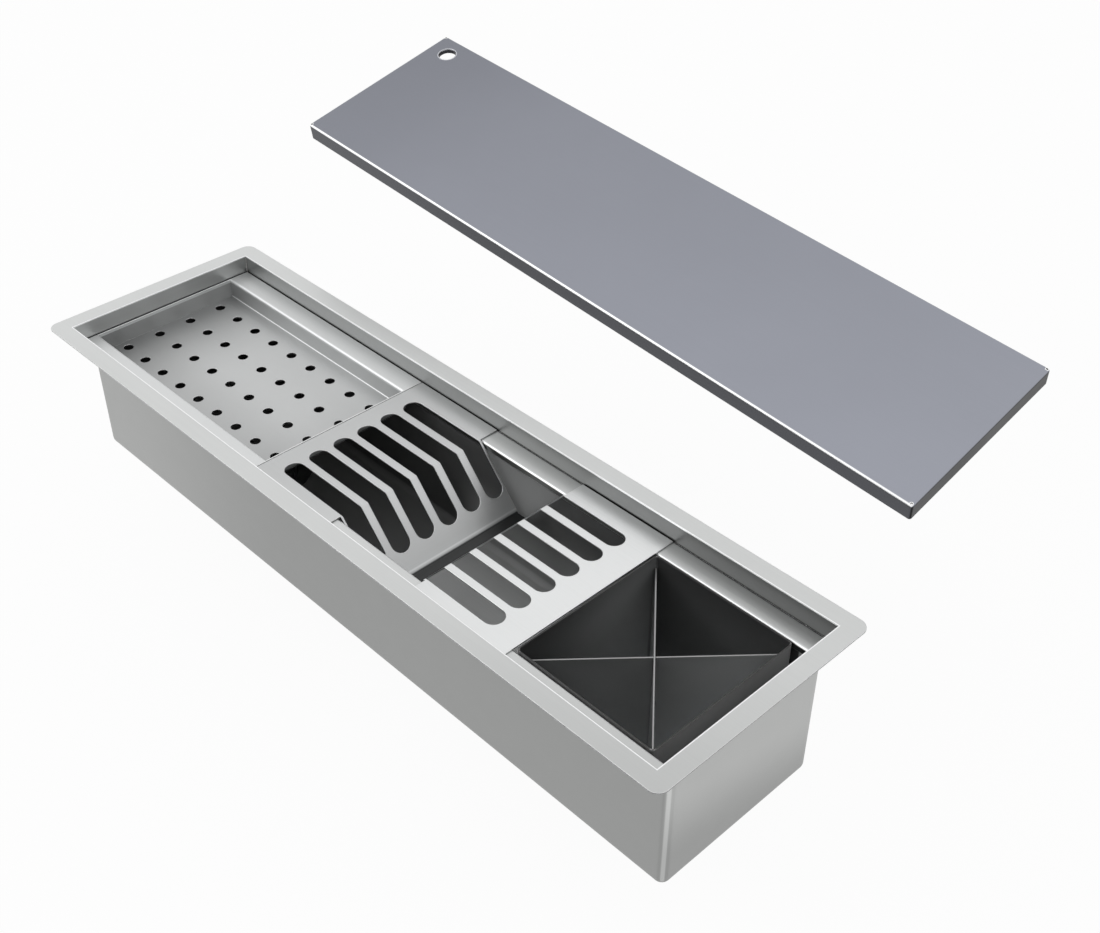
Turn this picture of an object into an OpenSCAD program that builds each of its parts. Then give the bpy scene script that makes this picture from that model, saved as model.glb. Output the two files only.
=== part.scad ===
// Long trough sink with a stepped rim. A drainer tray, a slotted plate rack and a caddy with crossed
// dividers stand in it, a folded lid lies over it, and all four lift out.
// Origin: centre of the rim, on its underside, which is the top of the worktop. X runs along the
// trough, Y across it and Z up. All sizes are in millimetres.

/* [Rim and ledges] */
// Overall length of the rim
rim_l = 1000; // [960:10:1200]
// Overall width of the rim
rim_w = 294; // [286:1:320]
// Width of the flat flange that lies on the worktop
flange_w = 22; // [18:1:30]
// Outer corner radius of the flange
rim_corner_r = 12; // [6:1:20]
// Thickness of the rim, bowl and insert sheet
sheet = 1.5; // [1.2:0.1:2]
// Depth from the top of the rim down to the ledges
rebate_h = 24; // [22:1:30]
// Width of each ledge along the long sides
ledge_w = 26; // [24:1:32]
// Inside radius of a folded edge
fold_r = 1.5; // [1:0.25:2]
// Depth of the lip folded down at the ledge's inner edge
lip_h = 8; // [6:1:12]

/* [Bowl] */
// Depth from the top of the rim to the underside of the bowl
bowl_h = 181; // [170:1:220]
// Setback of each long wall's outer face from the rim's edge
wall_inset = 40; // [38:0.5:41]
// Radius of the bowl's outer corners and bottom edge
bowl_r = 10; // [8:1:12]
// Distance from the rim's left end to the waste
waste_from_end = 210; // [180:5:250]
// Radius of the dished seat round the waste
dish_r = 58; // [58:1:64]
// Depth of the dished seat
dish_h = 3; // [3:0.5:5]

/* [Drainer tray] */
// Depth of the tray below its flanges
tray_h = 25.8; // [20:0.2:30]
// Diameter of the tray's drain holes
tray_hole_d = 12.5; // [8:0.5:16]
// Hole pitch along the tray
tray_pitch_x = 38.5; // [34:0.5:45]
// Hole pitch across the tray
tray_pitch_y = 45; // [40:0.5:46]
// Distance from the tray's left end to the first column of holes
tray_first = 15.5; // [14:0.5:20]
// Space kept clear before the tray's right end
tray_last = 22; // [18:1:28]

/* [Plate rack] */
// Overall length of the rack
rack_l = 396; // [390:2:410]
// Distance between the two upper bends
rack_gap = 133; // [128:1:140]
// Width of the flat valley floor
valley_w = 12; // [10:1:16]
// Depth of the valley below the flats
valley_h = 68.8; // [60:0.2:76]
// Width of a plate slot
slot_w = 24; // [20:0.5:25]
// Pitch of the plate slots
slot_pitch = 33.3; // [32.5:0.1:34]
// Number of slots on each side of the valley
slot_count = 6; // [4:1:6]
// Distance from the rack's left end to its slots
slot_end_left = 21; // [18:1:30]
// Distance from the rack's right end to its slots
slot_end_right = 33; // [26:1:38]
// Length of plain sheet between the slots and the valley, along the slope
slot_toe = 26.5; // [20:0.5:32]

/* [Caddy] */
// Length of the caddy
caddy_l = 175.5; // [170:0.5:182]
// Gap between the caddy and the right end wall of the bowl
caddy_gap = 28; // [20:1:32]
// Height of the caddy's walls above the crossed dividers
divider_drop = 14.5; // [8:0.5:24]
// Radius of the caddy's corners and bottom edge
caddy_r = 5; // [4:0.5:6]
// Diameter of the caddy's drain holes
caddy_hole_d = 6; // [4:0.5:8]
// Pitch of the caddy's drain holes
caddy_pitch = 20; // [16:1:24]

/* [Lid] */
// Depth of the lid's folded sides
lid_h = 22; // [18:1:24]
// Outer radius of the lid's folds
lid_r = 3; // [2.5:0.5:5]
// Radius of the relief holes where the lid's folds meet
relief_r = 1.25; // [0.75:0.05:1.25]
// Diameter of the finger hole
finger_d = 24; // [20:1:28]
// Distance of the finger hole from the lid's left end
finger_x = 32; // [26:1:44]
// Distance of the finger hole from the lid's back edge
finger_y = 28; // [24:1:40]
// Tilt of the lifted lid about X, in degrees
lid_tilt_x = 12.7; // [0:0.1:16]
// Tilt of the lifted lid about Y, in degrees
lid_tilt_y = 6.2; // [0:0.1:8]
// Turn of the lifted lid about Z, in degrees
lid_turn = 1.6; // [0:0.1:3]
// Distance of the lifted lid's centre behind the trough's middle
lid_back = 397.5; // [390:0.5:420]
// Distance of the lifted lid's centre left of the trough's middle
lid_left = 34; // [0:0.5:60]
// Height of the lifted lid's top above the worktop
lid_up = 107.5; // [90:0.5:140]

/* [Waste and strainer] */
// Outer radius of the waste cup
cup_r = 41; // [40:0.5:42]
// Depth of the waste cup below its flange
cup_h = 34; // [32:1:40]
// Wall of the waste cup and strainer
cup_wall = 1.2; // [1:0.1:1.5]
// Outer radius of the waste cup's flange
cup_flange_r = 56; // [54:0.5:57]
// Radius of the strainer's side wall
basket_r = 36; // [34:0.5:37]
// Height of the strainer's side wall
basket_h = 26; // [22:1:28]
// Height of the strainer's knob above its floor
knob_h = 24; // [20:1:25]
// Outer radius of the outlet's thread
outlet_r = 23.9; // [20:0.1:24]
// Length of the outlet spigot
outlet_h = 28; // [24:1:40]
// Wall of the moulded waste body
body_wall = 3; // [2.5:0.25:4]
// Thickness of the waste gasket
gasket_h = 2; // [1.5:0.25:3]

/* [Fixings] */
// Distance between neighbouring fixing clips
clip_pitch = 320; // [280:5:340]
// Radius of the welded studs
stud_r = 2.5; // [2.5:0.5:3]
// Length of the welded studs
stud_h = 10; // [10:0.5:14]
// Length of a clip arm from its stud to its tip
clip_reach = 28; // [24:1:32]
// Half width of a clip arm
clip_half = 6; // [5.5:0.25:6]
// Thickness of a clip arm
clip_t = 2; // [1.5:0.25:2.5]
// Distance across the flats of a fixing nut
nut_flats = 8; // [8:1:9]
// Thickness of a fixing nut
nut_h = 4; // [3:0.5:4]
// Width of the sealing strip under the rim
seal_w = 14; // [10:1:15]
// Thickness of the sealing strip
seal_h = 2; // [1:0.5:3]
// Thickness of the sound pads
pad_h = 3; // [2:0.5:4]
// Width of the earth tab
tab_w = 20; // [16:1:24]
// Radius of the hole in the earth tab
tab_hole_r = 3.25; // [2.2:0.05:3.25]

/* [Clearances] */
// Gap between a lift-out piece and what it stands on
rest_gap = 0.3; // [0.2:0.05:0.5]
// Side gap between a lift-out piece and the opening it drops through
drop_gap = 1.5; // [1:0.25:2]
// Gap between the tray and the rack
tray_seam = 1; // [0.8:0.1:2]
// Gap between the rack and the caddy
caddy_seam = 1.5; // [1:0.1:2]
// Radial gap of a turning arm on its stud
pivot_gap = 0.05; // [0.03:0.01:0.1]
// Gap round a piece that is screwed or glued in place
fit_gap = 0.1; // [0.05:0.05:0.2]

/* [Hidden] */
$fn = 48;

// Overrun of every cut past the surface it opens
over = 1;

// Rim and ledges
rim_top = sheet;
inner_l = rim_l - 2 * flange_w;
inner_w = rim_w - 2 * flange_w;
ledge_top = rim_top - rebate_h;
ledge_low = ledge_top - sheet;
opening_w = inner_w - 2 * ledge_w;
fold_out = fold_r + sheet;

// Bowl
bowl_l = inner_l + 2 * sheet;
bowl_w = rim_w - 2 * wall_inset;
bowl_low = rim_top - bowl_h;
floor_z = bowl_low + sheet;
bowl_in_r = bowl_r - sheet;
waste_x = waste_from_end - rim_l / 2;
dish_top = floor_z - dish_h;
dish_low = dish_top - sheet;
hole_gap = 1;
drain_r = cup_r + hole_gap;

// Lift-out pieces lie on the ledges with their flanges
flat_low = ledge_top + rest_gap;
flat_top = flat_low + sheet;
flat_w = inner_w - 2 * drop_gap;
drop_w = opening_w - 2 * drop_gap;

// The caddy is set from the right wall, the rack from the caddy and the tray from the rack
caddy_right = inner_l / 2 - caddy_gap;
caddy_left = caddy_right - caddy_l;
caddy_x = (caddy_left + caddy_right) / 2;
caddy_low = floor_z + rest_gap;
caddy_w = drop_w;
caddy_top = flat_low;
rack_right = caddy_left - caddy_seam;
rack_left = rack_right - rack_l;
rack_x = (rack_left + rack_right) / 2;
tray_right = rack_left - tray_seam;
tray_left = -inner_l / 2 + drop_gap;
tray_l = tray_right - tray_left;
tray_low = flat_low - tray_h + sheet;
tray_floor = tray_low + sheet;

// Slope of the rack: its run, its angle and its length
rack_run = (rack_gap - valley_w) / 2;
rack_angle = atan2(valley_h, rack_run);
rack_slope_l = norm([rack_run, valley_h]);
bend_steps = 6;

// Lid
lid_l = inner_l - 2 * drop_gap;
lid_w = inner_w - 2 * drop_gap;

// Waste: the cup hangs from its flange, the moulded body is drawn up under the bowl by one screw
cup_top = dish_top + cup_wall;
cup_low = dish_top - cup_h;
cup_floor = cup_low + cup_wall;
cup_hole_ring_share = 0.56;
cup_hole_share = 0.2;
cup_hole_n = 6;
screw_r = 3;
screw_head_r = 6;
screw_head_h = 3;
gasket_low = dish_low - gasket_h;
gasket_in_r = drain_r + hole_gap;
body_in_r = cup_r + hole_gap;
body_r = body_in_r + body_wall;
body_flange_r = cup_flange_r + hole_gap;
body_flange_h = 5;
body_drop = 12;
body_side_low = cup_low - body_drop;
body_cone_h = 14;
body_low = body_side_low - body_cone_h - outlet_h;
boss_r = 7;
boss_h = 16;
boss_top = cup_low;
web_t = 3;
web_n = 3;

// Strainer
seal_foot_h = 4.5;
seal_foot_w = 5;
basket_low = cup_floor + rest_gap + seal_foot_h;
basket_floor = basket_low + cup_wall;
basket_lip_w = 2.2;
knob_r = 9;
knob_cap_h = 7;
knob_stem_r = 3;
basket_hole_r = 2.2;
basket_ring_shares = [[0.42, 8], [0.72, 14]];
basket_slot_n = 14;
basket_slot_w = 2.4;
basket_slot_share = 0.5;

// Fixings
clip_clear = 1;
clip_y = bowl_w / 2 + clip_half + clip_clear;
arm_drop = 2.5;
tooth_h = 2;
tooth_l = 2.5;
arm_top = ledge_low - arm_drop;
arm_low = arm_top - clip_t;
nut_top = arm_low - rest_gap;
nut_low = nut_top - nut_h;
nut_sides = 6;
nut_r = nut_flats / sqrt(3);
clip_at = [for (side = [-1, 1], i = [-1 : 1]) [i * clip_pitch, side]];
seal_inset = 4;
seal_corner_r = max(rim_corner_r - seal_inset, seal_inset);
pad_edge = 22;
pad_seam = 20;
tab_h = 20;
tab_from_end = 40;

// A box with its underside at zero, its four upright edges and its bottom edge rounded
module tub(size, r) {
    l = size[0];
    w = size[1];
    h = size[2];
    translate([-l / 2, r - w / 2, r]) cube([l, w - 2 * r, h - r]);
    translate([r - l / 2, -w / 2, r]) cube([l - 2 * r, w, h - r]);
    translate([r - l / 2, r - w / 2, 0]) cube([l - 2 * r, w - 2 * r, h]);
    for (sx = [-1, 1], sy = [-1, 1])
        translate([sx * (l / 2 - r), sy * (w / 2 - r), r]) {
            cylinder(r = r, h = h - r);
            sphere(r = r);
        }
    for (sy = [-1, 1])
        translate([r - l / 2, sy * (w / 2 - r), r])
            rotate([0, 90, 0]) cylinder(r = r, h = l - 2 * r);
    for (sx = [-1, 1])
        translate([sx * (l / 2 - r), w / 2 - r, r])
            rotate([90, 0, 0]) cylinder(r = r, h = w - 2 * r);
}

// An open tub of sheet, with the same outside as the box above
module shell_tub(size, r, t) {
    difference() {
        tub(size, r);
        translate([0, 0, t]) tub([size[0] - 2 * t, size[1] - 2 * t, size[2] + over], r - t);
    }
}

// A flat plate with rounded corners, from zero upwards
module plate(l, w, h, r) {
    translate([-l / 2, r - w / 2, 0]) cube([l, w - 2 * r, h]);
    translate([r - l / 2, -w / 2, 0]) cube([l - 2 * r, w, h]);
    for (sx = [-1, 1], sy = [-1, 1])
        translate([sx * (l / 2 - r), sy * (w / 2 - r), 0]) cylinder(r = r, h = h);
}

// A quarter ring of sheet that turns a flat edge at +Y down into a wall, around its own centre
module fold_section(r, t) {
    intersection() {
        difference() {
            circle(r = r + t);
            circle(r = r);
        }
        square(r + t);
    }
}

// A section drawn in Y and Z, run along X about the middle
module along_x(l) {
    translate([-l / 2, 0, 0]) rotate([90, 0, 90]) linear_extrude(l) children();
}

// Rim flange, rebate walls and the two ledges, one folded and welded frame
module rim_frame() {
    color("silver") {
        difference() {
            plate(rim_l, rim_w, sheet, rim_corner_r);
            translate([-inner_l / 2, -inner_w / 2, -over]) cube([inner_l, inner_w, sheet + 2 * over]);
        }
        difference() {
            translate([-bowl_l / 2, -inner_w / 2 - sheet, ledge_low])
                cube([bowl_l, inner_w + 2 * sheet, -ledge_low]);
            translate([-inner_l / 2, -inner_w / 2, ledge_low - over])
                cube([inner_l, inner_w, -ledge_low + 2 * over]);
        }
        for (side = [0, 1]) mirror([0, side, 0]) ledge();
    }
}

// How far the folded lip stops short of the end walls, clear of the bowl's rounded corners
lip_fold_y = opening_w / 2 + fold_out;
lip_into_corner = min(max(lip_fold_y - bowl_w / 2 + bowl_r, 0), bowl_in_r);
lip_short = hole_gap + bowl_in_r - sqrt(pow(bowl_in_r, 2) - pow(lip_into_corner, 2));

// One ledge, welded into the walls, with the lip folded down at its inner edge
module ledge() {
    along_x(inner_l + sheet)
        translate([lip_fold_y, ledge_low]) square([inner_w / 2 - lip_fold_y + sheet / 2, sheet]);
    along_x(inner_l - 2 * lip_short) {
        translate([lip_fold_y, ledge_low]) square(sheet);
        translate([lip_fold_y, ledge_top - fold_out])
            mirror([1, 0]) fold_section(fold_r, sheet);
        translate([opening_w / 2, ledge_top - lip_h])
            square([sheet, lip_h - fold_out]);
    }
}

// Bowl welded under the frame, with a dished seat round the waste
module bowl() {
    color("darkgray")
    difference() {
        union() {
            translate([0, 0, bowl_low]) shell_tub([bowl_l, bowl_w, ledge_low - bowl_low], bowl_r, sheet);
            translate([waste_x, 0, dish_low]) cylinder(r = dish_r + sheet, h = dish_h + sheet);
        }
        translate([waste_x, 0, dish_top]) cylinder(r = dish_r, h = dish_h + sheet + over);
        translate([waste_x, 0, dish_low - over]) cylinder(r = drain_r, h = dish_h + sheet + 2 * over);
    }
}

// Sealing strip between the rim and the worktop
module rim_seal() {
    color("dimgray")
    translate([0, 0, -seal_h])
    difference() {
        plate(rim_l - 2 * seal_inset, rim_w - 2 * seal_inset, seal_h, seal_corner_r);
        translate([seal_w + seal_inset - rim_l / 2, seal_w + seal_inset - rim_w / 2, -over])
            cube([rim_l - 2 * (seal_w + seal_inset), rim_w - 2 * (seal_w + seal_inset), seal_h + 2 * over]);
    }
}

// Sound pad glued under the floor, between two places along the trough
module sound_pad(from_x, to_x) {
    color("dimgray")
    translate([(from_x + to_x) / 2, 0, bowl_low - pad_h])
        plate(to_x - from_x, bowl_w - 2 * pad_edge, pad_h, pad_edge / 2);
}

pad_start = waste_x + body_flange_r + pad_edge;
pad_end = bowl_l / 2 - pad_edge - tab_from_end - tab_w;
pad_mid = (pad_start + pad_end) / 2;

module sound_pad_left() {
    sound_pad(pad_start, pad_mid - pad_seam / 2);
}

module sound_pad_right() {
    sound_pad(pad_mid + pad_seam / 2, pad_end);
}

// Earth tab: a foot welded under the floor and a drilled ear that hangs down
module earth_tab() {
    tab_x = bowl_l / 2 - tab_from_end;
    color("silver")
    difference() {
        translate([tab_x, -tab_w / 2, bowl_low]) {
            translate([-tab_w, 0, -sheet]) cube([tab_w, tab_w, sheet]);
            translate([-sheet, 0, -tab_h]) cube([sheet, tab_w, tab_h]);
        }
        translate([tab_x - sheet - over, 0, bowl_low - tab_h / 2 - sheet / 2])
            rotate([0, 90, 0]) cylinder(r = tab_hole_r, h = sheet + 2 * over);
    }
}

// The six studs welded under the ledges
module clip_studs() {
    color("silver")
    for (at = clip_at)
        translate([at[0], at[1] * clip_y, ledge_low - stud_h]) cylinder(r = stud_r, h = stud_h);
}

// The six fixing nuts, one on each stud
module clip_nuts() {
    color("gray")
    for (at = clip_at)
        translate([at[0], at[1] * clip_y, nut_low])
        difference() {
            cylinder(r = nut_r, h = nut_h, $fn = nut_sides);
            translate([0, 0, -over]) cylinder(r = stud_r + pivot_gap, h = nut_h + 2 * over);
        }
}

// A swivel arm on its stud: round heel, flat arm and an upturned biting edge
module clip_arm(place) {
    color("gray")
    translate([clip_at[place][0], clip_at[place][1] * clip_y, arm_low])
    difference() {
        union() {
            cylinder(r = clip_half, h = clip_t);
            translate([0, -clip_half, 0]) cube([clip_reach, 2 * clip_half, clip_t]);
            translate([clip_reach - tooth_l, -clip_half, clip_t]) cube([tooth_l, 2 * clip_half, tooth_h]);
        }
        translate([0, 0, -over]) cylinder(r = stud_r + pivot_gap, h = clip_t + 2 * over);
    }
}

module clip_arm_1() { clip_arm(0); }
module clip_arm_2() { clip_arm(1); }
module clip_arm_3() { clip_arm(2); }
module clip_arm_4() { clip_arm(3); }
module clip_arm_5() { clip_arm(4); }
module clip_arm_6() { clip_arm(5); }

// Steel waste cup: flange in the dished seat, straight side and a floor with drain holes
module waste_flange() {
    color("silver")
    translate([waste_x, 0, 0])
    difference() {
        union() {
            translate([0, 0, dish_top]) cylinder(r = cup_flange_r, h = cup_wall);
            translate([0, 0, cup_low]) cylinder(r = cup_r, h = cup_top - cup_low);
        }
        translate([0, 0, cup_floor]) cylinder(r = cup_r - cup_wall, h = cup_top - cup_low + over);
        translate([0, 0, cup_low - over]) {
            cylinder(r = screw_r + fit_gap, h = cup_wall + 2 * over);
            for (i = [0 : cup_hole_n - 1])
                rotate(i * 360 / cup_hole_n)
                    translate([cup_r * cup_hole_ring_share, 0, 0])
                        cylinder(r = cup_r * cup_hole_share, h = cup_wall + 2 * over);
        }
    }
}

// Flat gasket between the bowl's underside and the moulded body
module waste_gasket() {
    color("black")
    translate([waste_x, 0, gasket_low])
    difference() {
        cylinder(r = body_flange_r, h = gasket_h);
        translate([0, 0, -over]) cylinder(r = gasket_in_r, h = gasket_h + 2 * over);
    }
}

// Moulded waste body: flange, side, cone and threaded spigot in one turned section, and a boss on webs
module waste_body() {
    color("black")
    translate([waste_x, 0, 0]) {
        rotate_extrude()
            polygon([
                [body_in_r, gasket_low],
                [body_flange_r, gasket_low],
                [body_flange_r, gasket_low - body_flange_h],
                [body_r, gasket_low - body_flange_h],
                [body_r, body_side_low],
                [outlet_r, body_side_low - body_cone_h],
                [outlet_r, body_low],
                [outlet_r - body_wall, body_low],
                [outlet_r - body_wall, body_side_low - body_cone_h],
                [body_in_r, body_side_low]
            ]);
        difference() {
            translate([0, 0, boss_top - boss_h]) {
                cylinder(r = boss_r, h = boss_h);
                for (i = [0 : web_n - 1])
                    rotate(i * 360 / web_n)
                        translate([0, -web_t / 2, boss_h - body_drop + hole_gap])
                            cube([body_in_r + body_wall / 2, web_t, body_drop - 2 * hole_gap]);
            }
            translate([0, 0, boss_top - boss_h - over]) cylinder(r = screw_r, h = boss_h + 2 * over);
        }
    }
}

// Screw that draws the cup and the moulded body together
module waste_screw() {
    color("silver")
    translate([waste_x, 0, 0]) {
        translate([0, 0, cup_floor]) cylinder(r = screw_head_r, h = screw_head_h);
        translate([0, 0, boss_top - boss_h]) cylinder(r = screw_r - pivot_gap, h = cup_floor - boss_top + boss_h);
    }
}

// Strainer: a pierced cup with a turned-out lip
module basket() {
    color("silver")
    translate([waste_x, 0, basket_low])
    difference() {
        union() {
            cylinder(r = basket_r, h = basket_h);
            translate([0, 0, basket_h - cup_wall]) cylinder(r = basket_r + basket_lip_w, h = cup_wall);
        }
        translate([0, 0, cup_wall]) cylinder(r = basket_r - cup_wall, h = basket_h);
        translate([0, 0, -over]) {
            cylinder(r = knob_stem_r + pivot_gap, h = cup_wall + 2 * over);
            for (ring = basket_ring_shares, i = [0 : ring[1] - 1])
                rotate(i * 360 / ring[1])
                    translate([basket_r * ring[0], 0, 0]) cylinder(r = basket_hole_r, h = cup_wall + 2 * over);
        }
        for (i = [0 : basket_slot_n - 1])
            rotate(i * 360 / basket_slot_n)
                translate([basket_r - 2 * cup_wall, -basket_slot_w / 2, basket_h * (1 - basket_slot_share) / 2])
                    cube([3 * cup_wall, basket_slot_w, basket_h * basket_slot_share]);
    }
}

// Rubber foot of the strainer, which closes the waste when it is pushed down
module basket_seal() {
    color("black")
    translate([waste_x, 0, basket_low - seal_foot_h])
    difference() {
        cylinder(r = basket_r, h = seal_foot_h);
        translate([0, 0, -over]) cylinder(r = basket_r - seal_foot_w, h = seal_foot_h + 2 * over);
    }
}

// Knob of the strainer, turned in one section and riveted through its floor
module basket_knob() {
    color("silver")
    translate([waste_x, 0, basket_low])
    rotate_extrude()
        polygon([
            [0, 0],
            [knob_stem_r, 0],
            [knob_stem_r, cup_wall + knob_h - knob_cap_h],
            [knob_r - knob_stem_r / 2, cup_wall + knob_h - knob_cap_h],
            [knob_r, cup_wall + knob_h - knob_cap_h + knob_stem_r / 2],
            [knob_r, cup_wall + knob_h - knob_stem_r / 2],
            [knob_r - knob_stem_r / 2, cup_wall + knob_h],
            [0, cup_wall + knob_h]
        ]);
}

// Half section of the tray: flange, upper fold, wall, lower fold and half the floor
module tray_section() {
    wall_y = drop_w / 2;
    translate([wall_y + fold_r, flat_low]) square([flat_w / 2 - wall_y - fold_r, sheet]);
    translate([wall_y + fold_r, flat_low - fold_r]) mirror([1, 0]) fold_section(fold_r, sheet);
    translate([wall_y - sheet, tray_low + fold_out])
        square([sheet, flat_low - fold_r - tray_low - fold_out]);
    translate([wall_y - fold_out, tray_low + fold_out]) mirror([0, 1]) fold_section(fold_r, sheet);
    translate([0, tray_low]) square([wall_y - fold_out, sheet]);
}

// Closed end of the tray, filling the section below the flanges
module tray_end() {
    wall_y = drop_w / 2;
    translate([-wall_y, tray_low + fold_out]) square([2 * wall_y, flat_top - tray_low - fold_out]);
    translate([fold_out - wall_y, tray_low]) square([2 * (wall_y - fold_out), fold_out]);
    for (side = [-1, 1])
        translate([side * (wall_y - fold_out), tray_low + fold_out]) circle(r = fold_out);
}

// Drainer tray: a shallow pan that hangs on the ledges, with rows of drain holes
module drainer_tray() {
    holes_x = floor((tray_l - tray_first - tray_last) / tray_pitch_x);
    holes_y = floor((drop_w - 2 * fold_out - tray_hole_d) / tray_pitch_y);
    color("lightgray")
    difference() {
        union() {
            translate([(tray_left + tray_right) / 2, 0, 0])
                for (side = [0, 1]) mirror([0, side, 0]) along_x(tray_l) tray_section();
            for (x = [tray_left + sheet / 2, tray_right - sheet / 2])
                translate([x, 0, 0]) along_x(sheet) tray_end();
        }
        for (i = [0 : holes_x], j = [0 : holes_y])
            translate([tray_left + tray_first + i * tray_pitch_x, (j - holes_y / 2) * tray_pitch_y, tray_low - over])
                cylinder(d = tray_hole_d, h = sheet + 2 * over);
    }
}

// Points of an arc about a centre, between two angles
function arc(centre, r, from, to) =
    [for (i = [0 : bend_steps]) centre + r * [cos(from + (to - from) * i / bend_steps),
                                              sin(from + (to - from) * i / bend_steps)]];

// Centres of the upper and lower bend of one half, in X and Z. Zero is the middle of the valley at
// the height of the flats' top, and the flat runs to -X.
upper_bend = [-rack_gap / 2 - fold_out * tan(rack_angle / 2), -fold_out];
lower_bend = [-valley_w / 2 + fold_r * tan(rack_angle / 2), fold_r - valley_h];

// One face of a half: along the flat, round the upper bend, down the slope and round the lower bend
function rack_face(half_l, z, r_upper, r_lower) =
    concat([[-half_l, z]],
           arc(upper_bend, r_upper, 90, 90 - rack_angle),
           arc(lower_bend, r_lower, 270 - rack_angle, 270));

function turned(points) = [for (i = [len(points) - 1 : -1 : 0]) points[i]];
function mirrored(points) = [for (p = points) [-p[0], p[1]]];

// Whole section of the rack: upper face from left to right, then the lower face back again
module rack_section(half_l) {
    upper = rack_face(half_l, 0, fold_out, fold_r);
    lower = rack_face(half_l, -sheet, fold_r, fold_out);
    polygon(concat(upper, turned(mirrored(upper)), mirrored(lower), turned(lower)));
}

// Slots of one half: along the flat, round the bend and down the slope, with a round end at each end
module rack_slots(slot_start) {
    cut = sheet + 2 * over;
    toe = rack_slope_l - slot_toe - slot_w / 2;
    corner = [-rack_gap / 2, 0];
    down = [cos(rack_angle), -sin(rack_angle)];
    outward = [sin(rack_angle), cos(rack_angle)];
    lean = tan(rack_angle / 2);
    for (i = [0 : slot_count - 1])
        translate([0, (i - (slot_count - 1) / 2) * slot_pitch, 0]) {
            translate([0, slot_w / 2, 0]) rotate([90, 0, 0]) linear_extrude(slot_w)
                polygon([
                    [slot_start + slot_w / 2, over],
                    corner + over * [lean, 1],
                    corner + toe * down + over * outward,
                    corner + toe * down - (sheet + over) * outward,
                    corner - (sheet + over) * [lean, 1],
                    [slot_start + slot_w / 2, -sheet - over]
                ]);
            translate([slot_start + slot_w / 2, 0, -sheet - over]) cylinder(d = slot_w, h = cut);
            translate([-rack_gap / 2, 0, 0]) rotate([0, rack_angle, 0])
                translate([toe, 0, -sheet - over]) cylinder(d = slot_w, h = cut);
        }
}

// Plate rack: one sheet bent down to a valley and up again, slotted for plates set on edge.
// The flats reach over the ledges, and the slopes and the valley drop between them.
module plate_rack() {
    half_l = rack_l / 2;
    side_cut = upper_bend[0] - rest_gap;
    color("lightgray")
    translate([rack_x, 0, flat_top])
    difference() {
        translate([0, flat_w / 2, 0]) rotate([90, 0, 0]) linear_extrude(flat_w) rack_section(half_l);
        rack_slots(slot_end_left - half_l);
        mirror([1, 0, 0]) rack_slots(slot_end_right - half_l);
        for (side = [0, 1]) mirror([0, side, 0])
            translate([side_cut, drop_w / 2, -valley_h - 2 * sheet])
                cube([-2 * side_cut, flat_w / 2 - drop_w / 2 + over, valley_h + 2 * sheet + over]);
    }
}

// Caddy: an open box that stands on the bowl's floor, with drain holes in its own floor
module caddy_box() {
    holes_x = floor((caddy_l - 4 * caddy_r) / caddy_pitch / 2) * 2;
    holes_y = floor((caddy_w - 4 * caddy_r) / caddy_pitch / 2) * 2;
    color("silver")
    translate([caddy_x, 0, caddy_low])
    difference() {
        shell_tub([caddy_l, caddy_w, caddy_top - caddy_low], caddy_r, sheet);
        for (i = [0.5 : holes_x], j = [0.5 : holes_y])
            translate([(i - holes_x / 2) * caddy_pitch, (j - holes_y / 2) * caddy_pitch, -over])
                cylinder(d = caddy_hole_d, h = sheet + 2 * over);
    }
}

divider_low = caddy_low + sheet;
divider_top = caddy_top - divider_drop;
divider_h = divider_top - divider_low;
caddy_in = [caddy_l - 2 * sheet, caddy_w - 2 * sheet];
divider_bevel = caddy_r - sheet;
divider_l = norm(caddy_in) - 2 * (divider_bevel * (sqrt(2) - 1) + rest_gap);
divider_angle = atan2(caddy_in[1], caddy_in[0]);
cross_angle = 180 - 2 * divider_angle;
cross_w = sheet / sin(cross_angle) + sheet * abs(cos(cross_angle)) / sin(cross_angle) + 2 * fit_gap;

// One upright divider from corner to corner, its lower corners bevelled to clear the rounded edge,
// notched over half its height where the other one crosses it
module divider(angle, notch_low) {
    color("silver")
    translate([caddy_x, 0, divider_low]) rotate(angle)
    difference() {
        translate([0, sheet / 2, 0]) rotate([90, 0, 0]) linear_extrude(sheet)
            polygon([
                [divider_bevel - divider_l / 2, 0],
                [divider_l / 2 - divider_bevel, 0],
                [divider_l / 2, divider_bevel],
                [divider_l / 2, divider_h],
                [-divider_l / 2, divider_h],
                [-divider_l / 2, divider_bevel]
            ]);
        translate([-cross_w / 2, -sheet, notch_low]) cube([cross_w, 2 * sheet, divider_h / 2 + over]);
    }
}

module divider_a() {
    divider(divider_angle, divider_h / 2);
}

module divider_b() {
    divider(-divider_angle, -over);
}

// Lid: a folded pan, open below, with a finger hole near one corner and relief holes where its folds
// meet, shown lifted off and tilted
module lid() {
    color("slategray")
    translate([-lid_left, lid_back, lid_up]) rotate([lid_tilt_x, lid_tilt_y, lid_turn])
    difference() {
        mirror([0, 0, 1]) shell_tub([lid_l, lid_w, lid_h], lid_r, sheet);
        translate([finger_x - lid_l / 2, lid_w / 2 - finger_y, -sheet - over])
            cylinder(d = finger_d, h = sheet + 2 * over);
        for (sx = [-1, 1], sy = [-1, 1])
            translate([sx * (lid_l / 2 - lid_r), sy * (lid_w / 2 - lid_r), -sheet - over])
                cylinder(r = relief_r, h = sheet + 2 * over);
    }
}

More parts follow.
